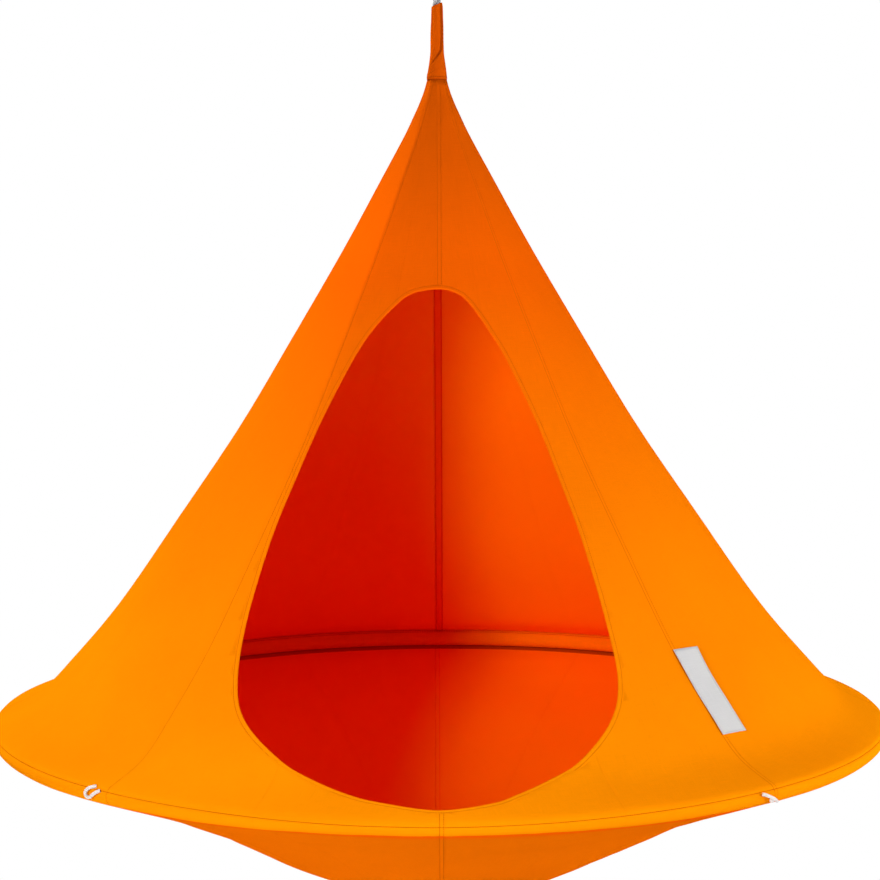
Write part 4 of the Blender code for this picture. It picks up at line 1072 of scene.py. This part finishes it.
def tag_grids():
    """The tag's outer and inner grids over the seam to the right of the door."""
    height = np.linspace(TAG_TOP, TAG_BOTTOM, 50)[:, None]
    drop = np.linspace(0, 1, 50)[:, None]
    share = np.linspace(0, 1, 20)[None, :]
    across = TAG_WIDE * share
    radius = np.interp(-height, -CONE[:, 1], CONE[:, 0])
    azimuth = seam_at(1, height) + np.degrees(across / radius)
    curl = 0.0010 + 0.0028 * share ** 2 + 0.0022 * share ** 2 * (drop - 0.5) ** 2 * 4
    curl = curl + 0.0006 * np.sin(drop * 9 + share * 2)
    outer = swung(radius + curl + 0.0010, azimuth, height)
    inner = swung(radius + curl + 0.0003, azimuth, height)
    side = np.minimum(share, 1 - share) * TAG_WIDE
    ends = np.minimum(drop, 1 - drop) * 0.15
    seam = stacked(np.minimum(side, ends), np.where(side < ends, height, across))
    return outer, inner, stacked(across, height), seam


TAG_COLOUR = (0.62, 0.61, 0.61)
white_tag = canvas_finish(
    "white_tag_tape", TAG_COLOUR, TAG_COLOUR, (0.50, 0.49, 0.50), (0.0022,), threads=1800.0, sheen=0.0,
)
tree = white_tag.node_tree
filled(tree, tree.nodes["Principled BSDF"], {"Specular Tint": (1, 1, 1), "Specular IOR Level": 0.2})
tag = cloth_shell("blank_woven_tag", [tag_grids()], (white_tag, white_tag))
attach(tag, "tent")
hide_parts("blank_tag")


# The hanging gear at the ceiling is bought in: a spun aluminium plate, and zinc-plated steel
# for the swivel, the carabiner and the thimble. The splice is wrapped in black shrink sleeve.


def edge_wear():
    """Shared group: soft patches of wear and fine scratches, as a mask and a roughness."""
    given = {"Place": None, "Scale": 60.0, "Base roughness": 0.35}
    group, given, end = new_group("metal wear", given, ("Worn", "Roughness", "Height"))
    scaled = group.nodes.new("ShaderNodeVectorMath")
    scaled.operation = "SCALE"
    filled(group, scaled, {0: given["Place"], "Scale": given["Scale"]})
    soft = speckle(group, scaled.outputs[0], 1.0, 4.0)
    fine = speckle(group, scaled.outputs[0], 14.0, 2.0, (1.0, 1.0, 0.12))
    worn = spread(group, soft, 0.48, 0.72)
    rough = maths(group, "MULTIPLY_ADD", fine, 0.16, given["Base roughness"])
    filled(group, end, {
        "Worn": worn, "Roughness": maths(group, "MULTIPLY_ADD", worn, -0.08, rough),
        "Height": maths(group, "MULTIPLY_ADD", soft, 0.6, times(group, fine, 0.4)),
    })
    return group


wear_group = edge_wear()


def metal_finish(name, bright, dull, roughness, scale=60.0, rings=0.0):
    """A metal with cloudy plating, fine scratches and, on a turned piece, faint tool rings."""
    made, tree, shader, place = finish_of(name, {"Metallic": 1.0})
    values = {"Place": place["Object"], "Scale": scale, "Base roughness": roughness}
    wear = in_group(tree, wear_group, values)
    colour = mixed(tree, wear["Worn"], bright, dull)
    filled(tree, shader, {"Base Color": colour, "Roughness": wear["Roughness"]})
    height = wear["Height"]
    if rings:
        ring = maths(tree, "SINE", times(tree, from_axis(tree, place["Object"]), rings))
        height = maths(tree, "MULTIPLY_ADD", ring, 0.5, height)
    raised(tree, shader, height, 0.00015)
    return made


zinc = metal_finish("zinc_plated_steel", (0.25, 0.255, 0.27), (0.16, 0.165, 0.175), 0.36)
stainless = metal_finish("stainless_thimble", (0.27, 0.265, 0.26), (0.19, 0.185, 0.18), 0.34)
brass = metal_finish("brass_washer", (0.36, 0.23, 0.08), (0.26, 0.15, 0.05), 0.36)
spun = metal_finish("spun_aluminium", (0.30, 0.305, 0.31), (0.22, 0.225, 0.23), 0.42, 40.0, rings=5200.0)
tube = metal_finish("drawn_aluminium_tube", (0.78, 0.79, 0.80), (0.63, 0.64, 0.66), 0.38, 25.0)

shrink, tree, shader, place = finish_of("black_shrink_sleeve", {})
wraps = maths(tree, "SINE", times(tree, split(tree, place["Object"])[2], 900.0))
grain = speckle(tree, place["Object"], 700.0, 3.0)
filled(tree, shader, {
    "Base Color": mixed(tree, spread(tree, grain, 0.35, 0.75), (0.012, 0.012, 0.013), (0.035, 0.035, 0.037)),
    "Roughness": spread(tree, grain, 0.2, 0.8, 0.42, 0.66),
})
raised(tree, shader, maths(tree, "MULTIPLY_ADD", wraps, 0.25, grain), 0.0003)

finishes = {
    "ceiling_plate": spun, "spreader_plate": spun, "swivel_housing": zinc, "swivel_washer": brass,
    "swivel_nut": zinc, "swivel_eye": zinc, "carabiner_frame": zinc, "carabiner_gate": zinc,
    "gate_pin": zinc, "eye_thimble": stainless, "rope_splice": shrink,
}
for side in ("right_front", "right_back", "left_back", "left_front"):
    finishes["ring_ferrule_" + side] = tube
for node, finish in finishes.items():
    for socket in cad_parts[node].material_slots:
        socket.material = finish


# The ring is four bent tubes of drawn aluminium, pushed over the ferrules under the four slits.
# Their bends are smooth, so that the sleeves lie close round them.
TUBE_OUT = 0.0125
TUBE_IN = 0.0109
TUBE_GAP = 0.00015


def bent_tube(name, low, high):
    """A hollow round tube along the ring, open at both ends."""
    shift = math.degrees(TUBE_GAP / RING)
    azimuth = np.linspace(low + shift, high - shift, 72)[None, :]
    section = np.linspace(0, 360, 29)[:-1, None]
    outside, inside = (round_tube(radius, section, azimuth) for radius in (TUBE_OUT, TUBE_IN))
    grid = np.concatenate([outside, inside[:, ::-1]], axis=1)
    place = stacked(np.radians(section) * TUBE_OUT, np.radians(azimuth) * RING)
    return ring_mesh(name, grid, np.concatenate([place, place[:, ::-1]], axis=1), tube)


for side, low, high in RING_PARTS:
    bent = bent_tube("ring_tube_" + side + "_bent", low, high)
    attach(bent, "tent")
    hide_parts("ring_tube_" + side)


# The studio: a pale floor a little below the tent, a white surround that only the camera and
# reflections see, and soft lamps in front at the left, at both sides and behind.
FLOOR_LEVEL = -2.46


def mirror_rays(tree):
    """A Light Path node's outputs, and whether a ray is a reflection or passes through a piece."""
    path = tree.nodes.new("ShaderNodeLightPath").outputs
    return path, maths(tree, "MAXIMUM", path["Is Glossy Ray"], path["Is Transmission Ray"])


bpy.ops.object.select_all(action="DESELECT")
bpy.ops.mesh.primitive_plane_add(size=24, location=(0, 0, FLOOR_LEVEL))
studio_floor = bpy.context.object
studio_floor.name = "studio_floor"
made, tree, shader, place = finish_of("pale_floor", {"Roughness": 0.9})
haze = speckle(tree, place["Object"], 1.5)
filled(tree, shader, {"Base Color": mixed(tree, haze, (0.80, 0.80, 0.80), (0.82, 0.82, 0.82))})
glow = tree.nodes.new("ShaderNodeEmission")
path, seen = mirror_rays(tree)
far = spread(tree, from_axis(tree, place["Object"]), 1.3, 2.3, 0.72, 1.0)
share = maths(tree, "MAXIMUM", times(tree, path["Is Camera Ray"], far), seen)
blend = tree.nodes.new("ShaderNodeMixShader")
filled(tree, blend, {0: share, 1: shader.outputs[0], 2: glow.outputs[0]})
filled(tree, tree.nodes["Material Output"], {"Surface": blend.outputs[0]})
studio_floor.data.materials.append(made)

world = bpy.data.worlds.new("white_surround")
bpy.context.scene.world = world
world.use_nodes = True
tree = world.node_tree
WORLD_LIGHT = 0.03
path, seen = mirror_rays(tree)
seen = maths(tree, "MAXIMUM", seen, path["Is Camera Ray"])
strength = maths(tree, "MULTIPLY_ADD", seen, 1.0 - WORLD_LIGHT, WORLD_LIGHT)
filled(tree, tree.nodes["Background"], {"Color": (1.0, 1.0, 1.0), "Strength": strength})

LAMPS = (
    ("key", (-1.5, -4.1, -0.25), (0, 0, -1.35), (0.5, 2.1), 87),
    ("key_high", (-1.7, -3.9, 0.2), (0, 0, -1.35), (0.5, 1.2), 29),
    ("key_low", (-1.6, -4.0, -1.8), (0, 0, -1.3), (1.2, 0.5), 15),
    ("front_right", (2.95, -1.9, -0.6), (0, 0, -1.2), (1.8, 1.0), 59),
    ("side_left", (-3.6, -0.6, -0.6), (0, 0, -1.2), (1.8, 1.8), 4),
    ("side_right", (3.6, -0.8, -0.6), (0, 0, -1.2), (1.8, 1.8), 12),
    ("back_left", (-2.6, 1.6, 1.2), (0, 0, -1.2), (1.6, 1.6), 138),
    ("back_right", (3.6, 1.0, -0.8), (0, 0, -1.0), (1.8, 1.8), 70),
)
for name, spot, aim, size, power in LAMPS:
    bpy.ops.object.light_add(type="AREA", location=spot)
    lamp = bpy.context.object
    lamp.name = "lamp_" + name
    lamp.rotation_euler = (Vector(aim) - Vector(spot)).to_track_quat("-Z", "Y").to_euler()
    lamp.data.shape = "RECTANGLE"
    lamp.data.size, lamp.data.size_y = size
    lamp.data.energy = power
